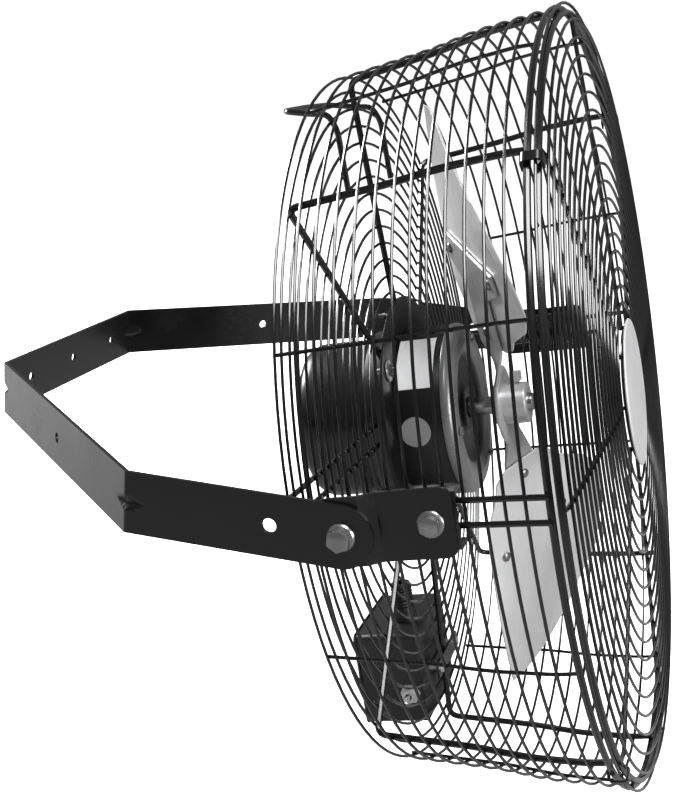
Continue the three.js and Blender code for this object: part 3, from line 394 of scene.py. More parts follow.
# %% Helper: bent wire
def rounded(points, bend, steps=5):
    """The same line with each inner corner replaced by short steps round it."""
    line = [Vector(points[0])]
    for before, corner, after in zip(points, points[1:], points[2:]):
        corner = Vector(corner)
        to_before, to_after = Vector(before) - corner, Vector(after) - corner
        cut = min(bend, to_before.length * 0.45, to_after.length * 0.45)
        a, b = corner + to_before.normalized() * cut, corner + to_after.normalized() * cut
        for i in range(steps + 1):
            t = i / steps
            line.append(a.lerp(corner, t).lerp(corner.lerp(b, t), t))
    return line + [Vector(points[-1])]


def traced(points):
    """A line of edges through the points, extruded from one vertex."""
    select_none()
    bpy.ops.mesh.primitive_plane_add(size=0.001)
    line = bpy.context.active_object
    bpy.ops.object.mode_set(mode="EDIT")
    bpy.ops.mesh.select_all(action="SELECT")
    bpy.ops.mesh.merge(type="CENTER")
    bpy.ops.transform.translate(value=points[0] * MM)
    for a, b in zip(points, points[1:]):
        bpy.ops.mesh.extrude_vertices_move(TRANSFORM_OT_translate={"value": (b - a) * MM})
    return line


def bent_wire(points, radius, bend, resolution=2):
    wire = traced(rounded(points, bend) if bend else [Vector(p) for p in points])
    select_none()
    wire.select_set(True)
    bpy.context.view_layer.objects.active = wire
    bpy.ops.object.convert(target="CURVE")
    wire = bpy.context.active_object
    wire.data.bevel_depth = radius * MM
    wire.data.bevel_resolution = resolution
    wire.data.use_fill_caps = True
    bpy.ops.object.convert(target="MESH")
    wire = bpy.context.active_object
    edit(wire)
    tidy_mesh()
    return wire


def around(degrees, radius, station):
    """A point from its angle about the axis (0 above, positive towards -X), radius and station."""
    a = math.radians(degrees)
    return Vector((-math.sin(a) * radius, -station, math.cos(a) * radius))


print("bent wire helper")


# %% [markdown]
# Turned pieces, such as the badge, the motor's bell and the hub, come from a section line that
# is spun round the axis. The line is traced in edit mode, spun in many steps, and small
# bevels on its corners catch the light as a real pressed or machined edge does.

# %% Helper: turned piece
def turned_piece(section, steps=96, corner=0.6, closed=False):
    """section is [radius, station] pairs; corner rounds the section's corners."""
    points = [Vector((r, -s, 0)) for r, s in section]
    line = rounded(points, corner, 2) if corner else points
    if closed:
        line = line[:-1] + [points[0]]
    piece = traced(line)
    spin_round(steps)
    return piece


print("turned piece helper")


# %% [markdown]
# The yoke is one flat bar bent at four corners and pressed with a dart at each, which stiffens
# the bend. Its outer line is traced in plan and extruded upwards in narrow bands, fine enough
# to press the darts and to round the arm ends. Solidify adds the bar's thickness on the inside.

# %% Yoke
FACE_HALF, ARM_X, ARM_START, PIVOT_Y, HALF_HIGH, BAR = 125, 341.8, 218, 373, 22.25, 3.2
BAND_EDGES = [-22.25, -17, -12, -8.5, -6.5, -5.2, -3.9, -2.6, -1.3, 0,
              1.3, 2.6, 3.9, 5.2, 6.5, 8.5, 12, 17, 22.25]
DART_LONG, DART_HALF, DART_DEEP = 15, 5, 3.6
YOKE_BEND = 7
HALF_BAR = BAR / 2
BAR_LINE_Z = -13
FACE_HOLE, OBLIQUE_HOLE, ARM_HOLE, PIVOT_HOLE = 4.4, 4.1, 5.2, 5.3
FACE_HOLE_PITCH, ARM_HOLE_BACK = 81, 50


def yoke_line():
    """The bar's outer line in plan, from one arm's tip to the other's, with points near the bends."""
    tips = [HALF_HIGH * math.sin(math.radians(a)) for a in range(90, -1, -10)]
    arm = [Vector((ARM_X, -PIVOT_Y - t, 0)) for t in tips]
    corners = [Vector((ARM_X, -ARM_START, 0)), Vector((FACE_HALF, 0, 0))]
    line = list(arm)
    stops = [arm[-1]] + corners + [Vector((0, 0, 0))]
    for k, corner in enumerate(corners):
        back = (stops[k] - corner).normalized()
        ahead = (stops[k + 2] - corner).normalized()
        line += [corner + back * d for d in range(DART_LONG + 2, YOKE_BEND - 4, -2)]
        turn = [corner + back * 3, corner, corner + ahead * 3]
        line += rounded(turn, 3, 6)[1:-1]
        line += [corner + ahead * d for d in range(YOKE_BEND - 3, DART_LONG + 4, 2)]
    mirrored = [Vector((-p.x, p.y, 0)) for p in reversed(line)]
    return line + [Vector((0, 0, 0))] + mirrored


def dart_push(place):
    """How far the pressing tool moves a point of the bar inwards, in metres."""
    for x, y, inward in DARTS:
        along = math.hypot(place.x / MM - x, place.y / MM - y)
        half = DART_HALF * (1 - along / DART_LONG)
        if half > 0.2 and abs(place.z / MM) < half:
            return inward * DART_DEEP * (1 - along / DART_LONG) * (1 - (place.z / MM / half) ** 2) * MM
    return Vector((0, 0, 0))


slope = Vector((ARM_START, ARM_X - FACE_HALF, 0)).normalized()
DARTS = []
for side in (-1, 1):
    oblique = Vector((side * slope.x, slope.y, 0))
    DARTS.append((side * FACE_HALF, 0, -(Vector((0, 1, 0)) + oblique).normalized()))
    DARTS.append((side * ARM_X, -ARM_START, -(Vector((side, 0, 0)) + oblique).normalized()))

bar = traced(yoke_line())
bpy.ops.mesh.select_all(action="SELECT")
bpy.ops.transform.translate(value=(0, 0, BAND_EDGES[0] * MM))
for low, high in zip(BAND_EDGES, BAND_EDGES[1:]):
    bpy.ops.mesh.extrude_edges_move(TRANSFORM_OT_translate={"value": (0, 0, (high - low) * MM)})
tidy_mesh()
for vertex in bar.data.vertices:
    past = -vertex.co.y / MM - PIVOT_Y
    if past > 0:
        vertex.co.z *= math.sqrt(max(HALF_HIGH ** 2 - past ** 2, 0)) / HALF_HIGH
    vertex.co += dart_push(vertex.co)
edit(bar)
tidy_mesh()
thick = bar.modifiers.new("thickness", "SOLIDIFY")
thick.thickness = BAR * MM
middle = min(bar.data.polygons, key=lambda f: (f.center - Vector((0, 0, 0))).length)
thick.offset = -1 if middle.normal.y > 0 else 1
bpy.ops.object.modifier_apply(modifier="thickness")


def drill(radius, place, direction, long=16):
    select_none()
    turn = Vector((0, 0, 1)).rotation_difference(Vector(direction)).to_euler()
    bpy.ops.mesh.primitive_cylinder_add(
        vertices=32, radius=radius * MM, depth=long * MM, location=Vector(place) * MM, rotation=turn)
    return bpy.context.active_object


face_holes = (-FACE_HOLE_PITCH, 0, FACE_HOLE_PITCH)
drills = [drill(FACE_HOLE, (x, -HALF_BAR, 0), (0, 1, 0)) for x in face_holes]
for side in (-1, 1):
    inside = Vector((side * slope.x, slope.y, 0))
    middle = Vector((side * (FACE_HALF + ARM_X) / 2, -ARM_START / 2, 0))
    drills.append(drill(OBLIQUE_HOLE, middle - inside * HALF_BAR, inside))
    drills.append(drill(ARM_HOLE, (side * (ARM_X - HALF_BAR), ARM_HOLE_BACK - PIVOT_Y, 0), (1, 0, 0)))
    drills.append(drill(PIVOT_HOLE, (side * (ARM_X - HALF_BAR), -PIVOT_Y, 0), (1, 0, 0)))
cutter = joined(drills)
holes = bar.modifiers.new("holes", "BOOLEAN")
holes.operation = "DIFFERENCE"
holes.solver = "EXACT"
holes.object = cutter
select_none()
bpy.context.view_layer.objects.active = bar
bar.select_set(True)
bpy.ops.object.modifier_apply(modifier="holes")
bpy.data.objects.remove(cutter)
BAR_LINE = Matrix.Translation((0, 0, BAR_LINE_Z * MM))
settle(bar, "bent_yoke", "yoke_black", "yoke", ["wall_yoke"], BAR_LINE, math.radians(25))

# %% [markdown]
# Flanged hex bolts hold the pivots, the brackets and the motor. The flange and shank are a
# turned section. The head is a six-sided cylinder with its top edges chamfered, and it sits on
# the flange. One function makes every size and a matrix stands each bolt in its hole.

# %% Flanged bolts
def flanged_bolt(shank, long, flange, head, high):
    section = [
        (0.01, -long), (shank, -long), (shank, -0.2), (flange - 0.4, 0), (flange, 0.5), (flange - 0.5, 1.2),
        (head + 0.2, 2.1), (0.01, 2.3),
    ]
    base = turned_piece(section, 48, 0.2)
    select_none()
    bpy.ops.mesh.primitive_cylinder_add(
        vertices=6, radius=head * MM, depth=high * MM, location=(0, -(2 + high / 2) * MM, 0),
        rotation=(math.pi / 2, 0, 0))
    hexagon = bpy.context.active_object
    soft = hexagon.modifiers.new("chamfer", "BEVEL")
    soft.width = 0.7 * MM
    soft.segments = 2
    bpy.ops.object.modifier_apply(modifier="chamfer")
    return joined([base, hexagon])


def stand(place, direction, frame_matrix):
    turn = Vector((0, -1, 0)).rotation_difference(Vector(direction)).to_matrix().to_4x4()
    return frame_matrix @ Matrix.Translation(Vector(place) * MM) @ turn


# each bolt: shank, length, flange, head and the head's height
PIVOT_BOLT = (5, 20, 10, 8.6, 6.2)
LUG_BOLT = (4, 11.5, 9.5, 7.5, 5)
MOTOR_BOLT = (3, 12, 9.5, 6, 4)
MOTOR_BOLT_CIRCLE, MOTOR_BOLT_BACK = 90, 31.06
LUG_AT = (331.9, -59, 2)
GAP = 0.3
for label, side in (("left", 1), ("right", -1)):
    pivot = stand((side * (ARM_X + GAP), -PIVOT_Y, 0), (side, 0, 0), BAR_LINE)
    bolt = flanged_bolt(*PIVOT_BOLT)
    settle(bolt, f"bolt_pivot_{label}", "zinc", "yoke", [f"pivot_bolt_{label}"], pivot)
    lug = stand((side * LUG_AT[0], LUG_AT[1], LUG_AT[2]), (side, 0, 0), IN_HEAD)
    bolt = flanged_bolt(*LUG_BOLT)
    settle(bolt, f"bolt_lug_{label}", "zinc", "head", [f"bracket_bolt_{label}"], lug)
for k, degrees in enumerate((53, 127, -127, -53)):
    a = math.radians(degrees)
    spot = (-math.sin(a) * MOTOR_BOLT_CIRCLE, MOTOR_BOLT_BACK, math.cos(a) * MOTOR_BOLT_CIRCLE)
    at = stand(spot, (0, -1, 0), IN_HEAD)
    bolt = flanged_bolt(*MOTOR_BOLT)
    settle(bolt, f"bolt_motor_{k + 1}", "zinc", "head", [f"motor_bolt_{k + 1}"], at)

# %% [markdown]
# Four clips hold the front guard's rim on the drum's rim. A clip is a short strap folded round both
# rims: its fold is traced in section, extruded to the strap's width and thickened.

# %% Guard clips
CLIP_FOLD = [(317.4, 132.2), (326, 132.2), (328.6, 134.4), (328.6, 144.6), (326.4, 147), (317.4, 147)]
CLIP_WIDE = 8


def guard_clip():
    fold = traced(rounded([Vector((r, -s, 0)) for r, s in CLIP_FOLD], 2, 3))
    bpy.ops.mesh.select_all(action="SELECT")
    bpy.ops.transform.translate(value=(0, 0, -CLIP_WIDE / 2 * MM))
    bpy.ops.mesh.extrude_edges_move(TRANSFORM_OT_translate={"value": (0, 0, CLIP_WIDE * MM)})
    tidy_mesh()
    gauge = fold.modifiers.new("gauge", "SOLIDIFY")
    gauge.thickness = 1.6 * MM
    gauge.offset = 0
    bpy.ops.object.modifier_apply(modifier="gauge")
    soft = fold.modifiers.new("soft", "BEVEL")
    soft.width = 0.3 * MM
    soft.limit_method = "ANGLE"
    bpy.ops.object.modifier_apply(modifier="soft")
    return fold


for k, degrees in enumerate((47.5, 137.5, -137.5, -47.5)):
    spot = IN_HEAD @ Matrix.Rotation(math.radians(-90 - degrees), 4, "Y")
    settle(guard_clip(), f"rim_clip_{k + 1}", "yoke_black", "head", [f"guard_clip_{k + 1}"], spot)

# %% [markdown]
# The rear guard is the drum and the rear face in one weldment: closely spaced rings on bent
# ribs. The numbers are the CAD model's own: the drum flares towards the front, the face is
# slightly dished, and the ribs lie inside the rings, touching them.

# %% Rear guard rings
THIN, RIM, RIB, RIB_THIN, ROD = 1.25, 2.75, 2.75, 1.5, 2.25
DRUM = [(297.2, -49.9), (308.2, 33), (315, 66), (317.3, 80), (321.5, 120.4), (323, 136)]
DRUM_STATIONS = [-49.9, -33.8, -18.9, -3.6, 11.2, 25.9, 40.3, 53.4, 66, 79.4, 93, 106.6, 120.4]
FACE_FIRST, FACE_LAST, FACE_PITCH = 285, 96, 14.7
FACE_INNER, FACE_DISH = -41, 8.5
RIM_RADIUS, RIM_STATION = 322.4, 136.2
DRUM_BACK = DRUM_STATIONS[0]
RIB_END = 84
WELD = 0.4


def drum_radius(station):
    for (r0, s0), (r1, s1) in zip(DRUM, DRUM[1:]):
        if station <= s1:
            break
    return r0 + (r1 - r0) * (station - s0) / (s1 - s0)


def face_station(radius):
    return FACE_INNER - FACE_DISH * (radius - FACE_LAST) / (FACE_FIRST - FACE_LAST)


rear_wires = [wire_ring(drum_radius(s), s, THIN) for s in DRUM_STATIONS]
radius = FACE_FIRST
while radius > FACE_LAST - 1:
    rear_wires.append(wire_ring(radius, face_station(radius), THIN, 96 if radius > 160 else 64))
    radius -= FACE_PITCH
rear_wires.append(wire_ring(RIM_RADIUS, RIM_STATION, RIM))
print("rear rings", len(rear_wires))

# %% Rear guard ribs
RIB_BEND = 9


def rear_rib(degrees, wire, to_face):
    inset = THIN + wire - WELD
    line = [(RIM_RADIUS - RIM - wire + WELD, 137.5)]
    line += [(r - inset, s) for r, s in reversed(DRUM[1:-1])]
    if to_face:
        wide = drum_radius(DRUM_BACK) - inset
        line += [(wide, face_station(wide) + inset), (FACE_LAST, face_station(FACE_LAST) + inset)]
        line += [(RIB_END, face_station(RIB_END) + inset)]
    else:
        line += [(drum_radius(DRUM_BACK) - inset, -51.5)]
    return bent_wire([around(degrees, r, s) for r, s in line], wire, RIB_BEND)


def side_rod(side, up):
    out = THIN + ROD - WELD
    line = [(RIM_RADIUS + RIM + ROD - 2 * WELD, 137.3)]
    line += [(math.sqrt((drum_radius(s) + out) ** 2 - up ** 2), s) for _, s in reversed(DRUM[1:-1])]
    wide = math.sqrt((drum_radius(DRUM_BACK) + out) ** 2 - up ** 2)
    line += [(wide, face_station(wide) - out), (RIB_END, face_station(RIB_END) - out)]
    return bent_wire([Vector((side * x, -s, up)) for x, s in line], ROD, RIB_BEND)


for i in range(8):
    if i % 4 != 2:
        rear_wires.append(rear_rib(i * 45, RIB, True))
    rear_wires.append(rear_rib(i * 45 + 22.5, RIB_THIN, False))
for side in (-1, 1):
    rear_wires += [side_rod(side, 13), side_rod(side, -4)]
print("rear wires", len(rear_wires))

# %% [markdown]
# On each side a lug of folded sheet is welded between the drum and the pivot bracket. A box is
# sized to the lug, its inner face is removed, and the walls get their thickness from Solidify.

# %% Side lugs and rear guard
LUG_FACE, LUG_LONG, LUG_LOW, LUG_HIGH = 328.3, (23, 77), -18, 22


def side_lug(side):
    select_none()
    deep = 20.7
    middle = Vector((side * (LUG_FACE - deep / 2), -sum(LUG_LONG) / 2, (LUG_LOW + LUG_HIGH) / 2)) * MM
    bpy.ops.mesh.primitive_cube_add(size=1, location=middle)
    lug = bpy.context.active_object
    lug.scale = Vector((deep, LUG_LONG[1] - LUG_LONG[0], LUG_HIGH - LUG_LOW)) * MM
    bpy.ops.object.transform_apply(location=True, rotation=True, scale=True)
    edit(lug)
    bpy.ops.mesh.select_all(action="DESELECT")
    shape = bmesh.from_edit_mesh(lug.data)
    for face in shape.faces:
        face.select = face.normal.x * side < -0.5 or abs(face.normal.y) > 0.5
    bmesh.update_edit_mesh(lug.data)
    bpy.ops.mesh.delete(type="FACE")
    bpy.ops.object.mode_set(mode="OBJECT")
    wall = lug.modifiers.new("wall", "SOLIDIFY")
    wall.thickness = 2 * MM
    wall.offset = -1
    bpy.ops.object.modifier_apply(modifier="wall")
    soft = lug.modifiers.new("soft_edge", "BEVEL")
    soft.width = 0.5 * MM
    soft.segments = 2
    bpy.ops.object.modifier_apply(modifier="soft_edge")
    return lug


rear_wires += [side_lug(side) for side in (-1, 1)]
settle(joined(rear_wires), "rear_cage", "wire_black", "head", ["rear_guard"])

# %% [markdown]
# The front guard is a shallow dome of rings on eight ribs, inside a thick rim, with one more
# ring outside it that the photo shows as a pale hoop. Short ties hold that outer ring.

# %% Front guard
FRONT_FIRST, FRONT_COUNT, BADGE = 311.7, 17, 63
FRONT_RIB, TIE = 1.8, 1.2
FRONT_RIM, HOOP = (317.6, 142.6), (325.4, 142.4)
DOME_BASE, DOME_RISE, DOME_FALL = 148.3, 13.1, 4.4


def dome_station(radius):
    t = (FRONT_FIRST - radius) / (FACE_PITCH * (FRONT_COUNT - 1))
    return DOME_BASE + DOME_RISE * t - DOME_FALL * t * t


front_wires = []
for i in range(FRONT_COUNT):
    radius = FRONT_FIRST - FACE_PITCH * i
    front_wires.append(wire_ring(radius, dome_station(radius), THIN, 96 if radius > 160 else 64))
front_wires.append(wire_ring(*FRONT_RIM, RIM))
front_wires.append(wire_ring(*HOOP, THIN))
front_wires.append(wire_ring(BADGE - 7, dome_station(BADGE - 7), THIN, 48))
for i in range(8):
    inset = THIN + FRONT_RIB - WELD
    stops = [FRONT_FIRST - 2, 250, 150, BADGE + 4, BADGE - 9]
    line = [around(i * 45, 316.6, 143.6)] + [around(i * 45, r, dome_station(r) - inset) for r in stops]
    front_wires.append(bent_wire(line, FRONT_RIB, 0))
    tie = [around(i * 45 + 11.25, r, 142.5) for r in (FRONT_RIM[0], HOOP[0])]
    front_wires.append(bent_wire(tie, TIE, 0))
settle(joined(front_wires), "front_cage", "wire_black", "head", ["front_guard"])

# %% Badge
badge_back = dome_station(BADGE) + 2.0
badge_section = [
    (0.01, badge_back), (BADGE - 1.5, badge_back), (BADGE - 0.2, badge_back + 0.8),
    (BADGE - 1.2, badge_back + 1.9), (BADGE - 4, badge_back + 2.3), (BADGE - 6, badge_back + 1.9),
    (30, badge_back + 2.6), (0.01, badge_back + 3.1),
]
settle(turned_piece(badge_section), "blank_badge", "badge_grey", "head", ["centre_badge"])

# %% [markdown]
# The carry handle is one rod: both legs are welded inside the rear face, pass out between two
# rings and meet in a grip behind the cage.

# %% Carry handle
half = [(67, 204, -42.2), (67, 256, -43.2), (66.6, 269.7, -49.6), (66, 271.5, -62),
        (62, 277.4, -87.5), (0, 278.2, -89.8)]
line = [Vector((x, -s, up)) for x, up, s in half] + [Vector((-x, -s, up)) for x, up, s in half[-2::-1]]
settle(bent_wire(line, 2.5, 9, 3), "rod_handle", "wire_black", "head", ["carry_handle"])

# %% [markdown]
# The motor is a rolled shell between two ends: a drawn rear can and a front bell whose face
# dips round the shaft, with that recess darkened by painted shade. The lip where each meets the shell is
# what the eye reads, so the sections have it.

# %% Motor skins
MOTOR, REAR, SHELL_BACK, SHELL_FRONT, REAR_BACK = 75, 69, -58, 8, -125
SHELL_BORE = 72.5
shell = [
    (SHELL_BORE, SHELL_BACK), (MOTOR, SHELL_BACK), (MOTOR, SHELL_FRONT),
    (SHELL_BORE, SHELL_FRONT), (SHELL_BORE, SHELL_BACK),
]
settle(turned_piece(shell, corner=0.4, closed=True), "motor_case", "motor_black", "head", ["motor_shell"])

can = [
    (0.01, REAR_BACK), (56, REAR_BACK), (65, REAR_BACK + 3.5), (REAR, REAR_BACK + 11),
    (REAR, SHELL_BACK - GAP), (REAR - 2.5, SHELL_BACK - GAP), (REAR - 2.5, REAR_BACK + 12),
    (62, REAR_BACK + 5.4), (55, REAR_BACK + 2.5), (0.01, REAR_BACK + 2.5),
]
settle(turned_piece(can, corner=4), "motor_rear_can", "motor_black", "head", ["motor_rear_housing"])

bell = [
    (17.5, 3.3), (20, 3.3), (20, 8.3), (MOTOR, 8.3), (MOTOR, 12.5), (73.2, 16), (68, 19.2), (58, 20),
    (49, 16.5), (46, 13.2), (25, 13), (20, 15.5), (9.2, 15.5), (9.2, 12.6), (17.5, 12.6), (17.5, 3.3),
]
bell_piece = turned_piece(bell, corner=1.2, closed=True)
RECESS_R, RECESS_EDGE = 49, 2.5
# The recess mask says where painted shade darkens the bell's face round the shaft.
depth = bell_piece.data.attributes.new("recess", "FLOAT", "POINT")
for vertex in bell_piece.data.vertices:
    reach = math.hypot(vertex.co.x, vertex.co.z) / MM
    depth.data[vertex.index].value = min(max((RECESS_R - reach) / RECESS_EDGE + 0.5, 0), 1)
settle(bell_piece, "motor_bell", "bell_grey", "head", ["motor_front_bell"])


def paint_recess_shade(material):
    """Painted shade: the recess round the shaft is coloured near black and made less metallic, where the
    attribute says so.
    """
    nodes, links = material.node_tree.nodes, material.node_tree.links
    shader = nodes["Principled BSDF"]
    before = shader.inputs["Base Color"].links[0].from_socket
    where = nodes.new("ShaderNodeAttribute")
    where.attribute_name = "recess"
    blend = nodes.new("ShaderNodeMix")
    blend.data_type = "RGBA"
    blend.inputs["B"].default_value = tone(grey(0.03))
    links.new(where.outputs["Fac"], blend.inputs["Factor"])
    links.new(before, blend.inputs["A"])
    links.new(blend.outputs["Result"], shader.inputs["Base Color"])
    shiny = nodes.new("ShaderNodeMath")
    shiny.operation = "MULTIPLY_ADD"
    shiny.inputs[1].default_value = -shader.inputs["Metallic"].default_value
    shiny.inputs[2].default_value = shader.inputs["Metallic"].default_value
    links.new(where.outputs["Fac"], shiny.inputs[0])
    links.new(shiny.outputs[0], shader.inputs["Metallic"])


paint_recess_shade(finishes["bell_grey"])

PLATE_R, PLATE_BORE, PLATE_BACK = 104, 75.3, -34.36
PLATE_FRONT = PLATE_BACK + 3
plate = [
    (PLATE_BORE, PLATE_BACK), (PLATE_R, PLATE_BACK), (PLATE_R, PLATE_FRONT),
    (PLATE_BORE, PLATE_FRONT), (PLATE_BORE, PLATE_BACK),
]
plate_piece = turned_piece(plate, corner=0.5, closed=True)
settle(plate_piece, "motor_plate", "motor_black", "head", ["motor_mount_plate"])

# %% [markdown]
# The fan shaft and hub are bright turned steel. The hub's section steps out to the flange
# that the blade arms are fixed to.

# %% Shaft and hub
shaft = [(0.01, -67.7), (7.9, -67.7), (7.9, 72), (6.9, 73), (0.01, 73)]
settle(turned_piece(shaft, 48, 0.3), "fan_shaft", "shaft_steel", "rotor", ["motor_shaft"])
hub = [
    (8.2, 40), (18, 40), (18, 42.95), (25, 42.95), (25, 45.45),
    (18, 45.45), (18, 67.5), (16.5, 69), (8.2, 69), (8.2, 40),
]
settle(turned_piece(hub, 64, 0.5, closed=True), "fan_hub", "zinc", "rotor", ["blade_hub"], paint="spider")

# %% [markdown]
# A blade is flat aluminium sheet pressed into a twist, steep at the root and shallow at the tip.
# A grid stands for the sheet. Its rows are moved to the blade's outline, a stiffening swage is
# raised along the middle, each point goes onto the twisted surface, and Solidify gives the gauge.

# %% Blade surface
TIP_R, ROOT_R, FLAT_R, BLADE_MID = 264, 60, 27, 50
ROWS = [(60, -20, 20), (68, -34, 34), (80, -38, 42), (106, -58, 80), (135, -63, 104), (170, -70, 112),
        (205, -77, 114), (236, -82, 114), (264, -86, 112)]
IN_BLADES = IN_HEAD @ Matrix.Rotation(BLADE_TURN, 4, "Y")


def pitch(radius):
    inner = min(max((radius - FLAT_R) / (ROOT_R - FLAT_R), 0), 1)
    outer = max((radius - ROOT_R) / (TIP_R - ROOT_R), 0)
    return math.radians(38 * inner - 21 * outer)


def on_sheet(radius, chord, off):
    b = pitch(radius)
    middle = BLADE_MID - 0.03 * max(0, radius - ROOT_R)
    lateral = chord * math.cos(b) - off * math.sin(b)
    return Vector((-lateral, -(middle + chord * math.sin(b) + off * math.cos(b)), radius)) * MM


def outline_at(radius, rows):
    for (r0, a0, b0), (r1, a1, b1) in zip(rows, rows[1:]):
        if radius <= r1:
            break
    t = (radius - r0) / (r1 - r0)
    return a0 + (a1 - a0) * t, b0 + (b1 - b0) * t


def swage(t):
    return t * t * (3 - 2 * t)


def blade_relief(radius, chord):
    """Height of the pressed form: a step across the root and a long shallow swage."""
    step = swage(min(max((radius - 112) / 14, 0), 1))
    ridge = math.exp(-((chord - 8) / 7) ** 2) * swage(min(max((radius - 150) / 25, 0), 1)) \
        * swage(min(max((250 - radius) / 20, 0), 1))
    return 0.5 * (1 - step) + 0.5 * ridge


def pressed_sheet(rows, columns, lines, mid, thick, relief, rounded_tip):
    select_none()
    bpy.ops.mesh.primitive_grid_add(x_subdivisions=columns, y_subdivisions=lines, size=2)
    sheet = bpy.context.active_object
    first, last = rows[0][0], rows[-1][0]
    for vertex in sheet.data.vertices:
        u, v = (vertex.co.x + 1) / 2, (vertex.co.y + 1) / 2
        radius = first + (last - first) * v
        low, high = outline_at(radius, rows)
        chord = low + (high - low) * u
        width = chord * math.cos(pitch(radius))
        drop = (TIP_R - math.sqrt(TIP_R ** 2 - width ** 2)) * v ** 3 if rounded_tip else 0
        vertex.co = on_sheet(radius - drop, chord, mid + (relief(radius, chord) if relief else 0))
    wall = sheet.modifiers.new("gauge", "SOLIDIFY")
    wall.thickness = thick * MM
    wall.offset = 0
    bpy.ops.object.modifier_apply(modifier="gauge")
    edge = sheet.modifiers.new("edge", "BEVEL")
    edge.width = 0.3 * MM
    edge.segments = 1
    bpy.ops.object.modifier_apply(modifier="edge")
    edit(sheet)
    tidy_mesh()
    return sheet


def half_turned(piece):
    piece.matrix_world = Matrix.Rotation(math.pi, 4, "Y")
    return piece


for tag, turn in (("a", False), ("b", True)):
    blade = pressed_sheet(ROWS, 44, 52, 0, 1.6, blade_relief, True)
    if turn:
        half_turned(blade)
    settle(blade, "fan_blade_" + tag, "aluminium", "rotor", ["blade_" + tag], IN_BLADES)

# %% [markdown]
# The spider carries both blades: two strap arms on a disc, twisted like the blades they back
# and widened to a foot that takes two of the rivets. Disc and arms are one pressing.

# %% Spider
ARM_ROWS = [(20, -17, 17), (42, -17, 17), (80, -17, 17), (112, -19, 19),
            (124, -40, 40), (130, -52, 52), (150, -54, 54)]
ARM_MID = -(0.9 + 0.6 + 1.25)
DISC_R, DISC_BORE = 34, 18.3
DISC_BACK = BLADE_MID + ARM_MID - 1.25
DISC_FRONT = DISC_BACK + 2.5
disc = [
    (DISC_BORE, DISC_BACK), (DISC_R, DISC_BACK), (DISC_R, DISC_FRONT),
    (DISC_BORE, DISC_FRONT), (DISC_BORE, DISC_BACK),
]
arms = [pressed_sheet(ARM_ROWS, 12, 40, ARM_MID, 2.5, None, False) for _ in range(2)]
half_turned(arms[1])
for arm in arms:
    select_none()
    arm.select_set(True)
    bpy.context.view_layer.objects.active = arm
    bpy.ops.object.transform_apply(location=True, rotation=True, scale=True)
spider = joined([turned_piece(disc, 64, 0.4, closed=True)] + arms)
settle(spider, "spider", "zinc", "rotor", ["blade_spider"], IN_BLADES, paint="spider")

# %% [markdown]
# Three rivets hold each blade. A rivet has a low domed head on both faces, so its section is
# spun in its own small frame and then stood on the sheet at its hole.

# %% Rivets
RIVET_SPOTS = [(75, 0), (139, -44), (139, 44)]
rivet_section = [
    (0.01, -6.8), (2.4, -6.5), (4, -5.7), (4.6, -4.6), (2.6, -4.6),
    (2.6, 1.8), (4.6, 1.8), (4.1, 3), (2.6, 3.8), (0.01, 4.1),
]


def standing(radius, chord):
    at = on_sheet(radius, chord, 0)
    out = (on_sheet(radius, chord, 1) - at).normalized()
    return Matrix.Translation(at) @ Vector((0, -1, 0)).rotation_difference(out).to_matrix().to_4x4()


for tag, turn in (("a", 0), ("b", math.pi)):
    for k, spot in enumerate(RIVET_SPOTS):
        rivet = turned_piece(rivet_section, 24, 0)
        place = IN_BLADES @ Matrix.Rotation(turn, 4, "Y") @ standing(*spot)
        settle(rivet, f"blade_rivet_{tag}{k + 1}", "zinc", "rotor", [f"rivet_{tag}{k + 1}"], place)

# %% [markdown]
# The control box is a pressed case with a snap-on cover. A cube takes its size, its long edges are
# bevelled to the case's corner radius, the open back is cut and walled, and the
# openings for the switch and the glands stay hidden under their collars.

# %% Control box
BOX = {"wide": 52, "top": -190, "low": -275, "back": -110, "front": -51.6}


def rounded_case(grow, back, front, corner, open_back):
    select_none()
    middle = Vector((0, -(back + front) / 2, (BOX["top"] + BOX["low"]) / 2)) * MM
    bpy.ops.mesh.primitive_cube_add(size=1, location=middle)
    case = bpy.context.active_object
    high = BOX["top"] - BOX["low"] + 2 * grow
    case.scale = Vector((2 * (BOX["wide"] + grow), front - back, high)) * MM
    bpy.ops.object.transform_apply(location=True, rotation=True, scale=True)
    edit(case)
    bpy.ops.mesh.select_all(action="DESELECT")
    shape = bmesh.from_edit_mesh(case.data)
    for side in shape.edges:
        along = (side.verts[0].co - side.verts[1].co).normalized()
        side.select = abs(along.y) > 0.9
    bmesh.update_edit_mesh(case.data)
    bpy.ops.mesh.bevel(offset=corner * MM, segments=5, affect="EDGES")
    if open_back:
        bpy.ops.mesh.select_all(action="DESELECT")
        shape = bmesh.from_edit_mesh(case.data)
        for face in shape.faces:
            face.select = face.normal.y > 0.9
        bmesh.update_edit_mesh(case.data)
        bpy.ops.mesh.delete(type="FACE")
    bpy.ops.object.mode_set(mode="OBJECT")
    if open_back:
        wall = case.modifiers.new("wall", "SOLIDIFY")
        wall.thickness = 2 * MM
        wall.offset = -1
        bpy.ops.object.modifier_apply(modifier="wall")
    soft = case.modifiers.new("soft_edge", "BEVEL")
    soft.width = 0.9 * MM
    soft.segments = 3
    soft.limit_method = "ANGLE"
    bpy.ops.object.modifier_apply(modifier="soft_edge")
    return case


case = rounded_case(0, BOX["back"] + 2.3, BOX["front"], 5, True)
settle(case, "switch_case", "box_black", "head", ["control_box"])
cover = rounded_case(1, BOX["back"], BOX["back"] + 2, 6, False)
settle(cover, "case_cover", "box_black", "head", ["box_cover"])

# %% [markdown]
# Glands and the switch bushing are threaded. The thread is left as fine grooves in the section,
# because at this size a true helix would look the same.

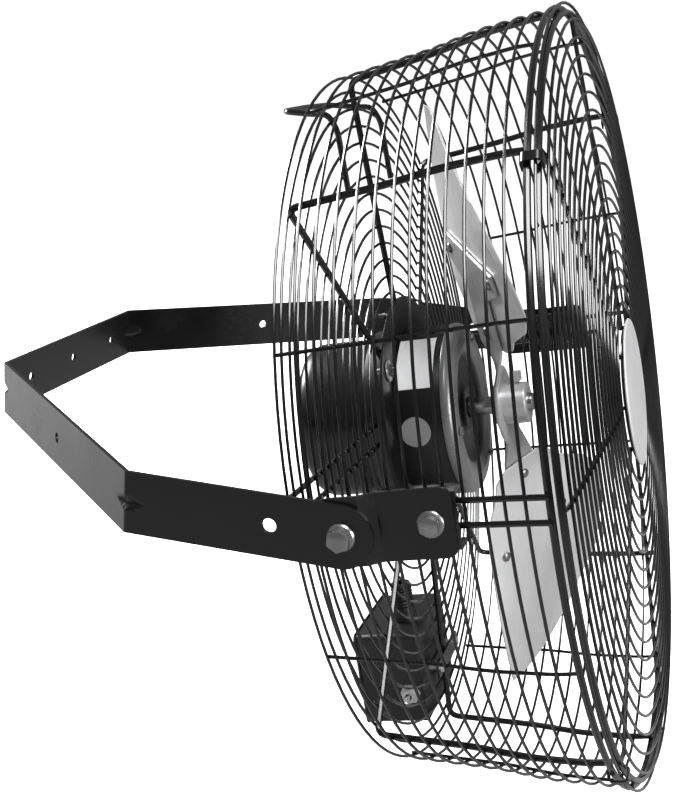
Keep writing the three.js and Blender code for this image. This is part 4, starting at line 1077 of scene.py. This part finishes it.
# %% Glands and switch
def grooved(bore, tail, collar, long, pitch_mm):
    section = [(bore, -6), (tail, -6), (tail, 0.3), (collar, 0.3), (collar, long * 0.3)]
    at = long * 0.3 + pitch_mm
    while at < long - 2:
        section += [(collar * 0.86, at), (collar * 0.94, at + pitch_mm / 2)]
        at += pitch_mm
    return section + [(collar * 0.8, long), (bore, long), (bore, -6)]


gland = turned_piece(grooved(4.5, 8, 11.5, 24, 1.8), 48, 0, closed=True)
place = stand((52, 68, -229), (1, 0, 0), IN_HEAD)
settle(gland, "cable_gland_side", "zinc", "head", ["side_gland"], place)
gland = turned_piece(grooved(5.5, 8, 10.5, 36, 3), 48, 0, closed=True)
place = stand((-15, 69, -190), (0, 0, 1), IN_HEAD)
settle(gland, "cable_gland_top", "plastic_black", "head", ["top_gland"], place)

lever = [
    (0.01, -6), (1.6, -6), (1.6, 9), (2.2, 14), (3.1, 20), (2.8, 22.6), (1.6, 23.8), (0.01, 24),
]
place = stand((-52.3, 64, -246), (-1, 0, 0), IN_HEAD)
# The lever takes the lighter spider zinc as painted highlight, in place of its bright reflection.
settle(turned_piece(lever, 32, 0), "toggle", "zinc", "switch", ["switch_lever"], place, paint="spider")

# %% [markdown]
# The blank label is paper wrapped on the shell, and the blank disc a sticker. Both are cut from a
# grid that is bent onto the round case, with a paper's thickness.

# %% Label and sticker
LABEL_LIFT = 0.35
STICKER_R = 13


def wrapped_patch(inside, name, slot_name, nodes):
    """inside gives (angle, station) for the grid's u and v from 0 to 1."""
    select_none()
    bpy.ops.mesh.primitive_grid_add(x_subdivisions=24, y_subdivisions=24, size=2)
    patch = bpy.context.active_object
    for vertex in patch.data.vertices:
        degrees, station = inside(vertex.co.x, vertex.co.y)
        vertex.co = around(degrees, MOTOR + LABEL_LIFT, station) * MM
    edit(patch)
    tidy_mesh()
    wall = patch.modifiers.new("paper", "SOLIDIFY")
    wall.thickness = 0.25 * MM
    wall.offset = 0
    bpy.ops.object.modifier_apply(modifier="paper")
    settle(patch, name, slot_name, "head", nodes)


wrapped_patch(lambda x, y: (42 + 20 * x, -13 + 16 * y), "blank_label", "label_white", ["rating_plate"])


def disc_point(x, y):
    reach = max(abs(x), abs(y))
    length = math.hypot(x, y) or 1
    x, y = x / length * reach, y / length * reach
    return 90 + math.degrees(STICKER_R * x / MOTOR), -15 + STICKER_R * y


wrapped_patch(disc_point, "blank_sticker", "sticker_grey", ["round_sticker"])

# %% json module
import json
